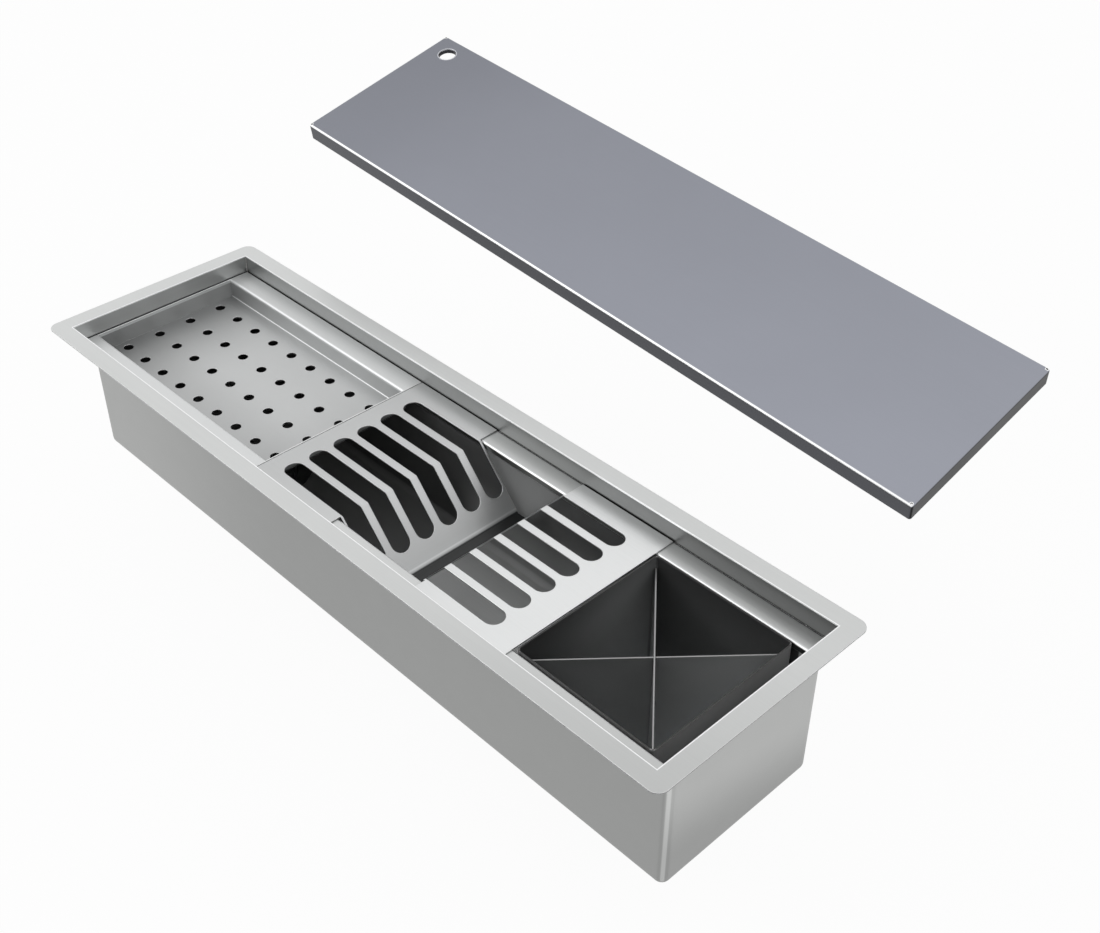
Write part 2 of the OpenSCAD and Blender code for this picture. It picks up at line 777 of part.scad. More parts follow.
rim_frame();
bowl();
rim_seal();
sound_pad_left();
sound_pad_right();
earth_tab();
clip_studs();
clip_nuts();
clip_arm_1();
clip_arm_2();
clip_arm_3();
clip_arm_4();
clip_arm_5();
clip_arm_6();
waste_flange();
waste_gasket();
waste_body();
waste_screw();
basket();
basket_seal();
basket_knob();
drainer_tray();
plate_rack();
caddy_box();
divider_a();
divider_b();
lid();
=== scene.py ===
"""Finishes, weld beads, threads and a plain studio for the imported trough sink."""
import math

import bmesh
import bpy
from mathutils import Euler, Matrix, Vector


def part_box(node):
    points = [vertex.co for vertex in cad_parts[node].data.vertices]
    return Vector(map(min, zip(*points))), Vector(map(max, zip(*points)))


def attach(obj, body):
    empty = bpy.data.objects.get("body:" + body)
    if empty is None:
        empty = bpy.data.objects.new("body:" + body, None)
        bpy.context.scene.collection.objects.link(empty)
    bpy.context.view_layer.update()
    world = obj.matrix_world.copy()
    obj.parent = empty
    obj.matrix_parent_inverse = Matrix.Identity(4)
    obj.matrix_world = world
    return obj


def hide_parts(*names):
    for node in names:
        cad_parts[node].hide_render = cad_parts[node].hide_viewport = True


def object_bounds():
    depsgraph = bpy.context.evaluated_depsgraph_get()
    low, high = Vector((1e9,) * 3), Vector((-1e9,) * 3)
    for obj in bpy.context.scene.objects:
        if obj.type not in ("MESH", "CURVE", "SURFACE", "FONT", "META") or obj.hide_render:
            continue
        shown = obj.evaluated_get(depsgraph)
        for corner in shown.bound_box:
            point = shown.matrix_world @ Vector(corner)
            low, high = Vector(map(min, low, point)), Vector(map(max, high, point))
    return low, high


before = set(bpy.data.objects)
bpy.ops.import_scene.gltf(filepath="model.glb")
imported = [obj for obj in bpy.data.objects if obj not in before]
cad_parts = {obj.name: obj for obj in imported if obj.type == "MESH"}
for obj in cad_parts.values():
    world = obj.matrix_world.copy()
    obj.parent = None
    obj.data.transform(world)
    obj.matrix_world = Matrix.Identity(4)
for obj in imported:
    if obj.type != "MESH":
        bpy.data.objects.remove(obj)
CAD_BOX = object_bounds()

bl_info = {
    "name": "Trough Sink Finish",
    "version": (1, 0, 0),
    "blender": (4, 5, 0),
    "location": "3D View > Sidebar > Trough Sink",
    "description": "Steel finishes, weld beads, threads and a plain studio for the trough sink",
    "category": "Object",
}

# The photograph's frame and the lens that belongs to it
IMAGE_W = 1100
SENSOR_W = 36.0
FOCAL_PX = 1480.34
CLIP_START, CLIP_END = 0.05, 100.0
CAMERA_EYE = Vector((1.0076, -0.7710, 0.9614))
CAMERA_TURN = Vector((2.082, 0.885, -0.428))

# Half length and half width inside the rebate, the ledges' height, and the width of a bright or dark line
INNER_HALF = (0.478, 0.125)
LEDGE_TOP = -0.0225
LINE_W = 0.0012

# How the lifted lid is tilted
LID_TILT = (math.radians(12.7), math.radians(6.2), math.radians(1.6))
LID_CENTRE = (-0.034, 0.3975, 0.1075)
LID_RELIEF = (0.4735, 0.1205)
FINGER_HOLE = (-0.4445, 0.0955)

# Radius and height of the waste body's turned section, above and below its thread, its boss and its webs
BODY_ABOVE = ((0.042, -0.1845), (0.057, -0.1845), (0.057, -0.189), (0.0565, -0.1895), (0.045, -0.1895),
              (0.045, -0.2265), (0.0445, -0.2275), (0.0245, -0.2405), (0.0239, -0.2415))
BODY_BELOW = ((0.0209, -0.269), (0.0209, -0.241), (0.042, -0.227), (0.042, -0.1845))
BODY_BOSS = ((0.003, -0.215), (0.003, -0.231), (0.007, -0.231), (0.007, -0.215), (0.003, -0.215))
BODY_WEB = ((0.006, 0.0425), (-0.0015, 0.0015), (-0.226, -0.216))

# Fall of the rack's two slopes for each metre along the trough
VALLEY_SLOPE = 1.116

# Shares of a normal: where a face looks along an axis, and from where to where it turns that way
SQUARE_ON = 0.7
TURNED = (0.3, 0.8)
END_TURNED = (0.3, 0.7)
LID_TOP_TURNED = (0.2, 0.6)
LEVEL_TURNED = (0.2, 0.5)
FOLD_START = (0.2, 0.4)
FOLD_END = (0.85, 0.97)

# Brushed steel: a streak's length over its width, the scales of its patches and smudges, the reach and the
# depth of the painted shade in corners, where an edge gets a painted highlight, and what each pattern does
# to the roughness
STREAK_RATIO = 260
PATCH_SCALE = 7.0
SMUDGE_SCALE = 38.0
STREAK_RELIEF = 0.00004
CORNER_REACH = 0.004
CORNER_SHADE = 0.38
CORNER_OPEN = (0.25, 0.8)
HIGHLIGHT_TURN = (0.02, 0.16)
HIGHLIGHT_OPEN = (0.6, 0.9)
STREAK_ROUGH, PATCH_ROUGH, SMUDGE_ROUGH = 0.16, 0.1, 0.05
# Share of the painted highlight on the rounded folds
FOLD_SHINE = 0.9

# Tones are shares of a finish's colour. The three numbers that fade() takes say where a change of tone
# starts, where it is complete, and how much it is.

# Rim, painted light and shade: its level faces, their fall for each metre, and its walls
RIM_LEVEL, RIM_FALL = 0.95, 0.05
RIM_NEAR_CORNER = (0.3, 0.78, 0.14)
RIM_RIGHT_WALLS = (-0.3, 0.45, 0.32)
RIM_LEFT_END, RIM_LEFT_LIGHT = -0.4, 0.16
FOOT_H = LINE_W * 1.4

# Bowl: what counts as its underside, and how dull it is inside
BOWL_UNDERSIDE = 0.1
BOWL_METAL_INSIDE = 0.1
BOWL_ROUGH_INSIDE, BOWL_ROUGH_DROP = 0.62, 0.18

# Bowl inside, painted light and shade: the gap above the rack's valley, its floor and its walls
GAP_SHIFT, GAP_HALF, GAP_DEPTH, GAP_SOFT = 0.010, 0.0665, 0.033, 0.002
UNDER_TRAY_END = (-0.05, 0.01)
FLOOR_UNDER_TRAY, FLOOR_RIGHT = 0.51, 1.85
FLOOR_BACK = (0.02, 0.115, 1.05)
WALL_DARK, WALL_IN_GAP, WALL_AT_RIGHT = 0.30, 0.6, 1.8
WALL_FOOT = (0.075, 0.15, 0.8)
BACK_WALL_Y = 0.1
RIGHT_GAP = (0.452, 0.479)

# Bowl outside, painted light and shade: the painted highlight down each corner, the long walls and the end
# walls
CORNER_HIGHLIGHT = (0.86, 0.97, 0.4)
CORNER_DIM = (0.3, 0.6, 0.06)
FRONT_TONE, END_TONE, END_SLANT = 0.78, 0.82, 1.5
FRONT_LEFT = (0.05, 0.45, 0.2)
END_RISE = (0.1, 0.7, 0.34)

# Tray: painted light and shade on its pan, from below the flange, and painted shade and more roughness on
# its walls
PAN_TOP = 0.004
PAN_TONE, PAN_LEFT_W, PAN_LEFT_LIGHT = 0.64, 0.15, 0.18
PAN_RIGHT = (-0.22, -0.13, 0.07)
PAN_FRONT = (0.0, 0.09, 0.18)
TRAY_WALL_SHADE, TRAY_ROUGHER, TRAY_WALL_ROUGHER = 0.02, 0.1, 0.12

# Rack, painted light and shade: the valley's dark band and bright line, measured from the rack's middle,
# the tone that rises to the right, and the left slope
VALLEY_BAND, VALLEY_SOFT = (0.0078, 0.0085), 0.0008
VALLEY_LINE, VALLEY_LINE_SOFT = (0.0104, 0.0092), 0.0005
VALLEY_LINE_TOP, VALLEY_LINE_SHINE = 0.05, 0.4
RACK_TONE, RACK_RISE = 0.76, 0.34
LEFT_SLOPE_W, LEFT_SLOPE_SOFT, LEFT_SLOPE_SHADE = 0.05, 0.025, 0.22

# Caddy and dividers, painted light and shade: the lit top edge's height, the painted light that rises down
# to the floor, and the walls
TOP_EDGE_H = 0.002
CADDY_METAL = 0.4
CADDY_TOP_TONE, CADDY_DEPTH_RISE = 0.75, 2.6
CADDY_LEFT_TONE, CADDY_BACK_SHADE = 0.38, 0.55
CADDY_LEFT_BACK = (-0.09, 0.09, 1.1)
DIVIDER_TONE, DIVIDER_RIGHT_FROM, DIVIDER_A_RIGHT = 1.15, 0.02, 1.5

# Lid, painted light and shade: its tone for each metre, its far end, its right end, and the radii of the
# painted highlight ring and painted shade hole at a corner's relief
LID_RISE, LID_BACK_FALL = 0.22, 0.3
LID_FAR = (0.2, 0.45, 0.09)
LID_END_SHADE = 0.95
# The lid's share of grain, and its share of the painted edge highlight
LID_GRAIN, LID_HIGHLIGHT = 0.6, 0.6
RELIEF_RING, RELIEF_HOLE = 0.0022, 0.00135

# Colour, roughness and share of grain of the other steels
POLISHED_COLOUR, POLISHED_ROUGH, POLISHED_GRAIN = (0.62, 0.62, 0.63), 0.2, 0.3
ZINC_COLOUR, ZINC_ROUGH, ZINC_GRAIN = (0.52, 0.52, 0.50), 0.42, 0.4
WELD_COLOURS, WELD_TINT_SCALE = ((0.30, 0.29, 0.27), (0.52, 0.52, 0.53)), 420.0
# The weld's roughness, share of grain, and share of the painted edge highlight
WELD_ROUGH, WELD_GRAIN, WELD_HIGHLIGHT = 0.4, 0.2, 0.4
# The finger hole's edge: painted shade below its lip, then lighter steel
EDGE_COLOURS = ((0.035, 0.035, 0.04), (0.58, 0.59, 0.63))
EDGE_ROUGH, EDGE_GRAIN, EDGE_DARK_BELOW = 0.3, 0.3, -0.0012

# Rubber and plastic: name, colour, roughness, scale of the pores and nodes, and the dust on all three
RUBBERS = (
    ("seal_rubber", (0.022, 0.022, 0.023), 0.62, 900.0, ("rim_seal", "waste_gasket", "basket_seal")),
    ("pad_rubber", (0.05, 0.05, 0.053), 0.85, 500.0, ("sound_pad_left", "sound_pad_right")),
    ("waste_plastic", (0.028, 0.028, 0.03), 0.42, 1400.0, ("waste_body",)),
)
PORE_STRENGTH, PORE_RELIEF = 0.35, 0.0001
DUST = (0.45, 0.75, 0.35)
DUST_SCALE, DUST_PALER, DUST_ROUGH = 26.0, 2.2, 0.16

# Threads: rings for each turn of a thread, and the studs' and nuts' forms as shares of their sizes
TURN_RINGS = 8
STUD_COLLAR, STUD_TIP = 0.0008, 0.0006
STUD_COLLAR_OUT, STUD_COLLAR_EDGE = (1.32, 1.24), 0.4
STUD_TIP_DEPTH = 1.6
NUT_BORE, NUT_FACE, NUT_CORNER = 1.04, 0.99, 1.2
STUD_SIDES, NUT_SIDES = 24, 48
OUTLET_SIDES, BOSS_SIDES = 96, 32
OUTLET_FOOT_DEPTH, OUTLET_FLANK = 1.3, 2.4

# Weld beads: gap at each end, share of the radius that the centre stands off, and form of the ripples
BEAD_END, BEAD_START = 0.001, -0.0005
BEAD_INSET = 0.45
BEAD_WAIST, BEAD_SWELL = 0.85, 0.3
BEAD_RINGS, BEAD_SIDES = 6, 12

# Rolled edge of the finger hole: share of its radius and height of each ring, from inside round its lip
EDGE_RINGS = ((1.00, -0.0010), (1.01, -0.0002), (1.035, 0.0002), (1.07, 0.0003), (1.11, 0.0002),
              (1.14, -0.0002), (1.10, -0.0006), (1.06, -0.0013))
EDGE_SIDES = 64

# Studio: the key lamp's place and size, where it points, and how far the floor lies below the sink
KEY_PLACE, KEY_SIZE = (-1.3, -1.9, 1.5), (1.6, 0.8)
LAMP_AIM = Vector((0.0, 0.1, 0.0))
FLOOR_GAP = 0.0005


class Wire:
    """A shader socket. Arithmetic on it adds the Math nodes of the expression."""

    def __init__(self, finish, socket):
        self.finish = finish
        self.socket = socket

    def also(self, name):
        """Another output of the same node."""
        return Wire(self.finish, self.socket.node.outputs[name])

    def maths(self, operation, *values):
        return self.finish.node("ShaderNodeMath", {"operation": operation}, dict(enumerate(values)))

    def __add__(self, other):
        return self.maths("ADD", self, other)

    __radd__ = __add__

    def __sub__(self, other):
        return self.maths("SUBTRACT", self, other)

    def __rsub__(self, other):
        return self.maths("SUBTRACT", other, self)

    def __mul__(self, other):
        return self.maths("MULTIPLY", self, other)

    __rmul__ = __mul__

    def __truediv__(self, other):
        return self.maths("DIVIDE", self, other)

    def __rtruediv__(self, other):
        return self.maths("DIVIDE", other, self)

    def __gt__(self, other):
        return self.maths("GREATER_THAN", self, other)

    def __lt__(self, other):
        return self.maths("LESS_THAN", self, other)

    def root(self):
        return self.maths("SQRT", self)

    def __abs__(self):
        return self.maths("ABSOLUTE", self)

    def __or__(self, other):
        return self.maths("MAXIMUM", self, other)


class Finish:
    """One material and the node tree behind it."""

    def __init__(self, name, world=None):
        self.material = world or bpy.data.materials.new(name)
        self.material.use_nodes = True
        self.nodes = self.material.node_tree.nodes
        self.links = self.material.node_tree.links
        self.nodes.clear()

    def node(self, kind, settings=None, inputs=None, output=0):
        """Adds a node, sets it up, fills or links its sockets and returns one of its outputs."""
        made = self.nodes.new(kind)
        for name, value in (settings or {}).items():
            setattr(made, name, value)
        for name, value in (inputs or {}).items():
            socket = made.inputs[name]
            if isinstance(value, Wire):
                self.links.new(value.socket, socket)
            elif socket.type == "RGBA":
                socket.default_value = (*value[:3], 1.0)
            else:
                socket.default_value = value
        return Wire(self, made.outputs[output]) if len(made.outputs) else None

    def mixed(self, share, first, second):
        """A colour between two colours."""
        return self.node("ShaderNodeMix", {"data_type": "RGBA"}, {0: share, 6: first, 7: second}, 2)

    def ramp(self, value, low, high):
        """0 below low, 1 above high and a smooth rise between them."""
        return self.node("ShaderNodeMapRange", {"interpolation_type": "SMOOTHSTEP"},
                         {"Value": value, "From Min": low, "From Max": high})

    def fade(self, value, change):
        """A change of tone: nothing below its start, its whole amount above its end."""
        start, end, amount = change
        return self.ramp(value, start, end) * amount

    def vector(self, operation, first, second):
        return self.node("ShaderNodeVectorMath", {"operation": operation}, {0: first, 1: second})

    def noise(self, place, scale, detail):
        return self.node("ShaderNodeTexNoise", {},
                         {"Vector": place, "Scale": scale, "Detail": detail}, "Fac")

    def parts(self, vector):
        """X, Y and Z of a vector."""
        split = self.node("ShaderNodeSeparateXYZ", {}, {"Vector": vector}, "X")
        return split, split.also("Y"), split.also("Z")

    def surface(self, colour, roughness, metallic, normal):
        shader = self.node("ShaderNodeBsdfPrincipled", {},
                           {"Base Color": colour, "Roughness": roughness, "Metallic": metallic,
                            "Normal": normal})
        self.node("ShaderNodeOutputMaterial", {}, {"Surface": shader})
        return self.material


class Steel(Finish):
    """Brushed sheet steel: streaks along the sheet, soft mottling, painted highlights on rounded edges,
    painted shade in corners.
    """

    def __init__(self, name, tilt=None, centre=None):
        super().__init__(name)
        self.place = self.node("ShaderNodeTexCoord", {}, {}, "Object")
        facing = self.place.also("Normal")
        if tilt:
            self.place = self.node("ShaderNodeMapping", {"vector_type": "TEXTURE"},
                                   {"Vector": self.place, "Location": centre, "Rotation": tilt})
            facing = self.node("ShaderNodeMapping", {"vector_type": "TEXTURE"},
                               {"Vector": facing, "Rotation": tilt})
        self.facing = self.parts(facing)
        self.at = self.parts(self.place)

    def grain(self, width):
        """Streaks along X, and along Y on the faces that look along X."""
        fine = 1.0 / width
        long = fine / STREAK_RATIO
        along_x = self.noise(self.vector("MULTIPLY", self.place, (long, fine, fine)), 1.0, 3.0)
        along_y = self.noise(self.vector("MULTIPLY", self.place, (fine, long, fine)), 1.0, 3.0)
        end_face = abs(self.facing[0]) > SQUARE_ON
        return along_x * (1.0 - end_face) + along_y * end_face

    def upright(self):
        """1 on faces that stand upright, 0 on level and sloping ones."""
        return 1.0 - self.ramp(abs(self.facing[2]), *LEVEL_TURNED)

    def shaded(self, colour, share):
        """A colour made darker, or lighter where the share is above 1."""
        return self.node("ShaderNodeVectorMath", {"operation": "SCALE"}, {0: colour, "Scale": share})

    def inside(self, axis, low, high, soft=0.001):
        """1 between two places along an axis, with soft ends."""
        at = self.at[axis]
        return self.ramp(at, low - soft, low + soft) * (1.0 - self.ramp(at, high - soft, high + soft))

    def folds(self):
        """1 on the rounded folds, between level and upright."""
        level = abs(self.facing[2])
        return self.ramp(level, *FOLD_START) * (1.0 - self.ramp(level, *FOLD_END))

    def finish(self, colour, roughness, grain=1.0, edge=1.0, metallic=1.0):
        """Links the shader. The colour, the roughness and the metallic share are values or links."""
        style = look()
        streaks = self.grain(style.grain_width)
        mottle = self.noise(self.place, PATCH_SCALE, 3.0)
        smudge = self.noise(self.place, SMUDGE_SCALE, 4.0)
        rounded = self.node("ShaderNodeBevel", {"samples": 4}, {"Radius": style.edge_radius})
        facing = self.node("ShaderNodeNewGeometry", {}, {}, "Normal")
        together = self.node("ShaderNodeVectorMath", {"operation": "DOT_PRODUCT"},
                             {0: rounded, 1: facing}, "Value")
        clear = self.node("ShaderNodeAmbientOcclusion", {"samples": 4}, {"Distance": CORNER_REACH}, "AO")
        # Painted highlight: open, rounded edges take the bright highlight colour
        highlighted = self.ramp(1.0 - together, *HIGHLIGHT_TURN) * self.ramp(clear, *HIGHLIGHT_OPEN) * edge
        streaked = (streaks - 0.5) * grain
        patched = mottle - 0.5
        shade = 1.0 + streaked * style.grain_contrast + patched * style.mottling
        # Painted shade: the colour darkens in corners and creases, where ambient occlusion finds other
        # faces close
        shade = shade * (1.0 - CORNER_SHADE + CORNER_SHADE * self.ramp(clear, *CORNER_OPEN))
        colour = self.mixed(highlighted, self.shaded(colour, shade), style.highlight_colour)
        rough = roughness + streaked * STREAK_ROUGH + patched * PATCH_ROUGH + (smudge - 0.5) * SMUDGE_ROUGH
        bumped = self.node("ShaderNodeBump", {},
                           {"Strength": style.grain_bump * grain, "Distance": STREAK_RELIEF,
                            "Height": streaks, "Normal": rounded})
        return self.surface(colour, rough, metallic, bumped)


class SinkLook(bpy.types.PropertyGroup):
    """Colours and grain of the sink's finishes."""

    rim_colour: bpy.props.FloatVectorProperty(
        name="Rim", description="Colour of the rim, the ledges and the rebate", subtype="COLOR", size=3,
        min=0.0, max=1.0, default=(0.66, 0.67, 0.665))
    insert_colour: bpy.props.FloatVectorProperty(
        name="Inserts", description="Colour of the tray and the plate rack", subtype="COLOR", size=3,
        min=0.0, max=1.0, default=(0.70, 0.71, 0.71))
    # Darker than the rim's steel: painted shade on the bowl's outer faces
    bowl_colour: bpy.props.FloatVectorProperty(
        name="Bowl outside", description="Colour of the bowl's outer faces", subtype="COLOR", size=3,
        min=0.0, max=1.0, default=(0.42, 0.425, 0.42))
    bowl_inside_colour: bpy.props.FloatVectorProperty(
        name="Bowl inside", description="Colour of the bowl's inner faces", subtype="COLOR", size=3,
        min=0.0, max=1.0, default=(0.34, 0.345, 0.345))
    # Painted shade: the caddy and its dividers are dark as if deep in shade
    caddy_shade_colour: bpy.props.FloatVectorProperty(
        name="Caddy", description="Colour of the caddy and its dividers", subtype="COLOR", size=3,
        min=0.0, max=1.0, default=(0.17, 0.174, 0.175))
    caddy_outside_colour: bpy.props.FloatVectorProperty(
        name="Caddy outside", description="Colour of the caddy's outer faces", subtype="COLOR", size=3,
        min=0.0, max=1.0, default=(0.40, 0.40, 0.40))
    # Painted shade on the caddy box's top edge
    caddy_edge_shade_colour: bpy.props.FloatVectorProperty(
        name="Caddy edge", description="Colour of the caddy box's top edge", subtype="COLOR", size=3,
        min=0.0, max=1.0, default=(0.05, 0.05, 0.05))
    # Lighter top edges of the dividers: painted light beside the painted shade
    lit_edge_colour: bpy.props.FloatVectorProperty(
        name="Lit edges", description="Colour of the caddy's lit top edges", subtype="COLOR", size=3,
        min=0.0, max=1.0, default=(0.42, 0.42, 0.42))
    lid_colour: bpy.props.FloatVectorProperty(
        name="Lid", description="Colour of the lid's top", subtype="COLOR", size=3, min=0.0, max=1.0,
        default=(0.295, 0.306, 0.348))
    # Painted shade on the rack's valley floor
    valley_shade_colour: bpy.props.FloatVectorProperty(
        name="Valley", description="Colour of the plate rack's valley floor", subtype="COLOR", size=3,
        min=0.0, max=1.0, default=(0.055, 0.056, 0.056))
    # Painted highlight colour for edges and folds
    highlight_colour: bpy.props.FloatVectorProperty(
        name="Highlighted edges", description="Colour of edges painted bright", subtype="COLOR", size=3,
        min=0.0, max=1.0, default=(0.93, 0.935, 0.94))
    # Painted shade in the creases at the walls' foot, on the tray's hole walls and in the lid's corner
    # holes
    dark_shade_colour: bpy.props.FloatVectorProperty(
        name="Foot line", description="Colour of the line where walls meet the ledges", subtype="COLOR",
        size=3, min=0.0, max=1.0, default=(0.07, 0.07, 0.07))
    # Painted shade on the upright faces
    wall_shade: bpy.props.FloatProperty(
        name="Wall shade", description="How much darker the upright faces are", subtype="FACTOR",
        min=0.0, max=1.0, default=0.42)
    # Painted shade on the lid's folded sides
    lid_side_shade_colour: bpy.props.FloatVectorProperty(
        name="Lid sides", description="Colour of the lid's folded sides", subtype="COLOR", size=3,
        min=0.0, max=1.0, default=(0.085, 0.087, 0.097))
    roughness: bpy.props.FloatProperty(
        name="Roughness", description="Roughness of the satin steel", subtype="FACTOR", min=0.05,
        max=1.0, default=0.36)
    grain_width: bpy.props.FloatProperty(
        name="Grain width", description="Width of the brushed streaks", unit="LENGTH", min=0.0002,
        max=0.005, precision=4, default=0.0011)
    grain_contrast: bpy.props.FloatProperty(
        name="Grain contrast", description="How far the streaks change the colour", subtype="FACTOR",
        min=0.0, max=1.0, default=0.10)
    grain_bump: bpy.props.FloatProperty(
        name="Grain relief", description="Strength of the streaks' relief", subtype="FACTOR", min=0.0,
        max=1.0, default=0.25)
    mottling: bpy.props.FloatProperty(
        name="Mottling", description="How far broad patches change the colour", subtype="FACTOR",
        min=0.0, max=1.0, default=0.08)
    edge_radius: bpy.props.FloatProperty(
        name="Edge rounding", description="Radius to which sharp edges look worn", unit="LENGTH",
        min=0.0, max=0.005, precision=4, default=0.0010)


class ThreadSizes(bpy.types.PropertyGroup):
    """Threads, nuts, weld beads and the rolled edge of the finger hole."""

    stud_radius: bpy.props.FloatProperty(
        name="Stud radius", description="Outer radius of the welded studs", unit="LENGTH", min=0.001,
        max=0.005, precision=4, default=0.0025)
    stud_pitch: bpy.props.FloatProperty(
        name="Stud pitch", description="Pitch of the studs' thread", unit="LENGTH", min=0.0004,
        max=0.002, precision=4, default=0.0008)
    stud_depth: bpy.props.FloatProperty(
        name="Stud thread depth", description="Depth of the studs' thread", unit="LENGTH", min=0.0001,
        max=0.001, precision=5, default=0.00042)
    nut_flats: bpy.props.FloatProperty(
        name="Nut flats", description="Distance across a nut's flats", unit="LENGTH", min=0.004,
        max=0.02, precision=4, default=0.008)
    nut_chamfer: bpy.props.FloatProperty(
        name="Nut chamfer", description="Height of a nut's chamfer", unit="LENGTH", min=0.0001,
        max=0.001, precision=5, default=0.00045)
    outlet_pitch: bpy.props.FloatProperty(
        name="Outlet pitch", description="Pitch of the outlet's thread", unit="LENGTH", min=0.001,
        max=0.005, precision=4, default=0.0023)
    outlet_depth: bpy.props.FloatProperty(
        name="Outlet thread depth", description="Depth of the outlet's thread", unit="LENGTH", min=0.0002,
        max=0.003, precision=4, default=0.0013)
    pad_square: bpy.props.FloatProperty(
        name="Pad square", description="Side of the raised squares on the sound pads", unit="LENGTH",
        min=0.004, max=0.03, precision=4, default=0.0092)
    pad_pitch: bpy.props.FloatProperty(
        name="Pad pitch", description="Distance between the raised squares", unit="LENGTH", min=0.006,
        max=0.04, precision=4, default=0.012)
    pad_relief: bpy.props.FloatProperty(
        name="Pad relief", description="Height of the raised squares", unit="LENGTH", min=0.0002,
        max=0.002, precision=4, default=0.0008)
    bead_radius: bpy.props.FloatProperty(
        name="Weld bead", description="Radius of the weld beads in the rebate's corners", unit="LENGTH",
        min=0.0002, max=0.003, precision=4, default=0.0010)
    bead_ripple: bpy.props.FloatProperty(
        name="Weld ripple", description="Distance between a bead's ripples", unit="LENGTH", min=0.0005,
        max=0.005, precision=4, default=0.0015)
    finger_radius: bpy.props.FloatProperty(
        name="Finger hole", description="Inner radius of the finger hole's rolled edge", unit="LENGTH",
        min=0.008, max=0.02, precision=4, default=0.0119)
    finger_depth: bpy.props.FloatProperty(
        name="Finger hole depth", description="Depth of the finger hole's rolled edge", unit="LENGTH",
        min=0.001, max=0.012, precision=4, default=0.0065)


class StudioSetup(bpy.types.PropertyGroup):
    """Floor and lamps of the studio."""

    floor_size: bpy.props.FloatProperty(
        name="Floor size", description="Side of the square floor", unit="LENGTH", min=2.0, max=60.0,
        default=30.0)
    floor_colour: bpy.props.FloatVectorProperty(
        name="Floor", description="Colour of the floor", subtype="COLOR", size=3, min=0.0, max=1.0,
        default=(0.86, 0.86, 0.86))
    floor_white: bpy.props.FloatProperty(
        name="Floor white", description="Share of plain white in the floor as it is seen",
        subtype="FACTOR", min=0.0, max=1.0, default=0.95)
    surround: bpy.props.FloatProperty(
        name="Surround", description="Strength of the light from all round", min=0.0, max=2.0,
        default=0.75)
    key_strength: bpy.props.FloatProperty(
        name="Key lamp", description="Power of the long lamp at the front left", unit="POWER", min=0.0,
        max=500.0, default=9.0)


def look():
    return bpy.context.scene.trough_look


def studio():
    return bpy.context.scene.trough_studio


def threads():
    return bpy.context.scene.trough_threads


def skin(rings, sides, point, ends=False):
    """Points on rings round an axis and the faces between them. point(ring, turn) places each point."""
    points = [point(ring, side / sides) for ring in range(rings) for side in range(sides)]
    faces = []
    for ring in range(rings - 1):
        low, high = ring * sides, (ring + 1) * sides
        for side in range(sides):
            after = (side + 1) % sides
            faces.append((low + side, low + after, high + after, high + side))
    if ends:
        faces.append(tuple(reversed(range(sides))))
        faces.append(tuple(range((rings - 1) * sides, rings * sides)))
    return points, faces


def piece(name, skins, body, material, crease=35.0):
    """One mesh piece made from skins, which rides on a body of the frame."""
    shape = bmesh.new()
    for points, faces in skins:
        made = [shape.verts.new(point) for point in points]
        for face in faces:
            shape.faces.new([made[corner] for corner in face])
    bmesh.ops.recalc_face_normals(shape, faces=shape.faces)
    mesh = bpy.data.meshes.new(name)
    shape.to_mesh(mesh)
    shape.free()
    mesh.shade_smooth()
    mesh.set_sharp_from_angle(angle=math.radians(crease))
    mesh.materials.append(material)
    made = bpy.data.objects.new(name, mesh)
    bpy.context.scene.collection.objects.link(made)
    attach(made, body)
    return made


def dress(material, *names):
    """Gives CAD nodes a material."""
    for name in names:
        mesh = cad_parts[name].data
        mesh.materials.clear()
        mesh.materials.append(material)


class TROUGH_OT_rim(bpy.types.Operator):
    """Brushed steel for the rim flange, the rebate walls and the ledges"""

    bl_idname = "trough.rim"
    bl_label = "Rim frame"

    def execute(self, context):
        steel = Steel("rim_steel")
        x, y = abs(steel.at[0]), abs(steel.at[1])
        half_l, half_w = INNER_HALF
        # Painted light and shade: the level faces darken along the trough and at the near corner, the
        # walls get painted shade, more towards the right, and the left end wall gets painted light
        near = steel.fade(steel.at[0] - steel.at[1] * 2.0, RIM_NEAR_CORNER)
        level = (RIM_LEVEL - steel.at[0] * RIM_FALL) * (1.0 - near)
        walls = 1.0 - steel.upright() * (look().wall_shade + steel.fade(steel.at[0], RIM_RIGHT_WALLS))
        left_wall = steel.ramp(steel.facing[0], *TURNED) * (steel.at[0] < RIM_LEFT_END)
        tone = level * (walls + left_wall * RIM_LEFT_LIGHT)
        colour = steel.shaded(look().rim_colour, tone)
        above = steel.at[2] > 0.0
        # Painted highlight along the rim's inner edge and on the folds, painted shade along the walls'
        # foot
        inner_edge = above * (x < half_l + LINE_W) * (y < half_w + LINE_W)
        foot = (steel.at[2] < LEDGE_TOP + FOOT_H) * ((x > half_l - LINE_W) | (y > half_w - LINE_W))
        colour = steel.mixed(foot, colour, look().dark_shade_colour)
        colour = steel.mixed(inner_edge | steel.folds() * FOLD_SHINE, colour, look().highlight_colour)
        dress(steel.finish(colour, look().roughness), "rim_frame")
        return {"FINISHED"}


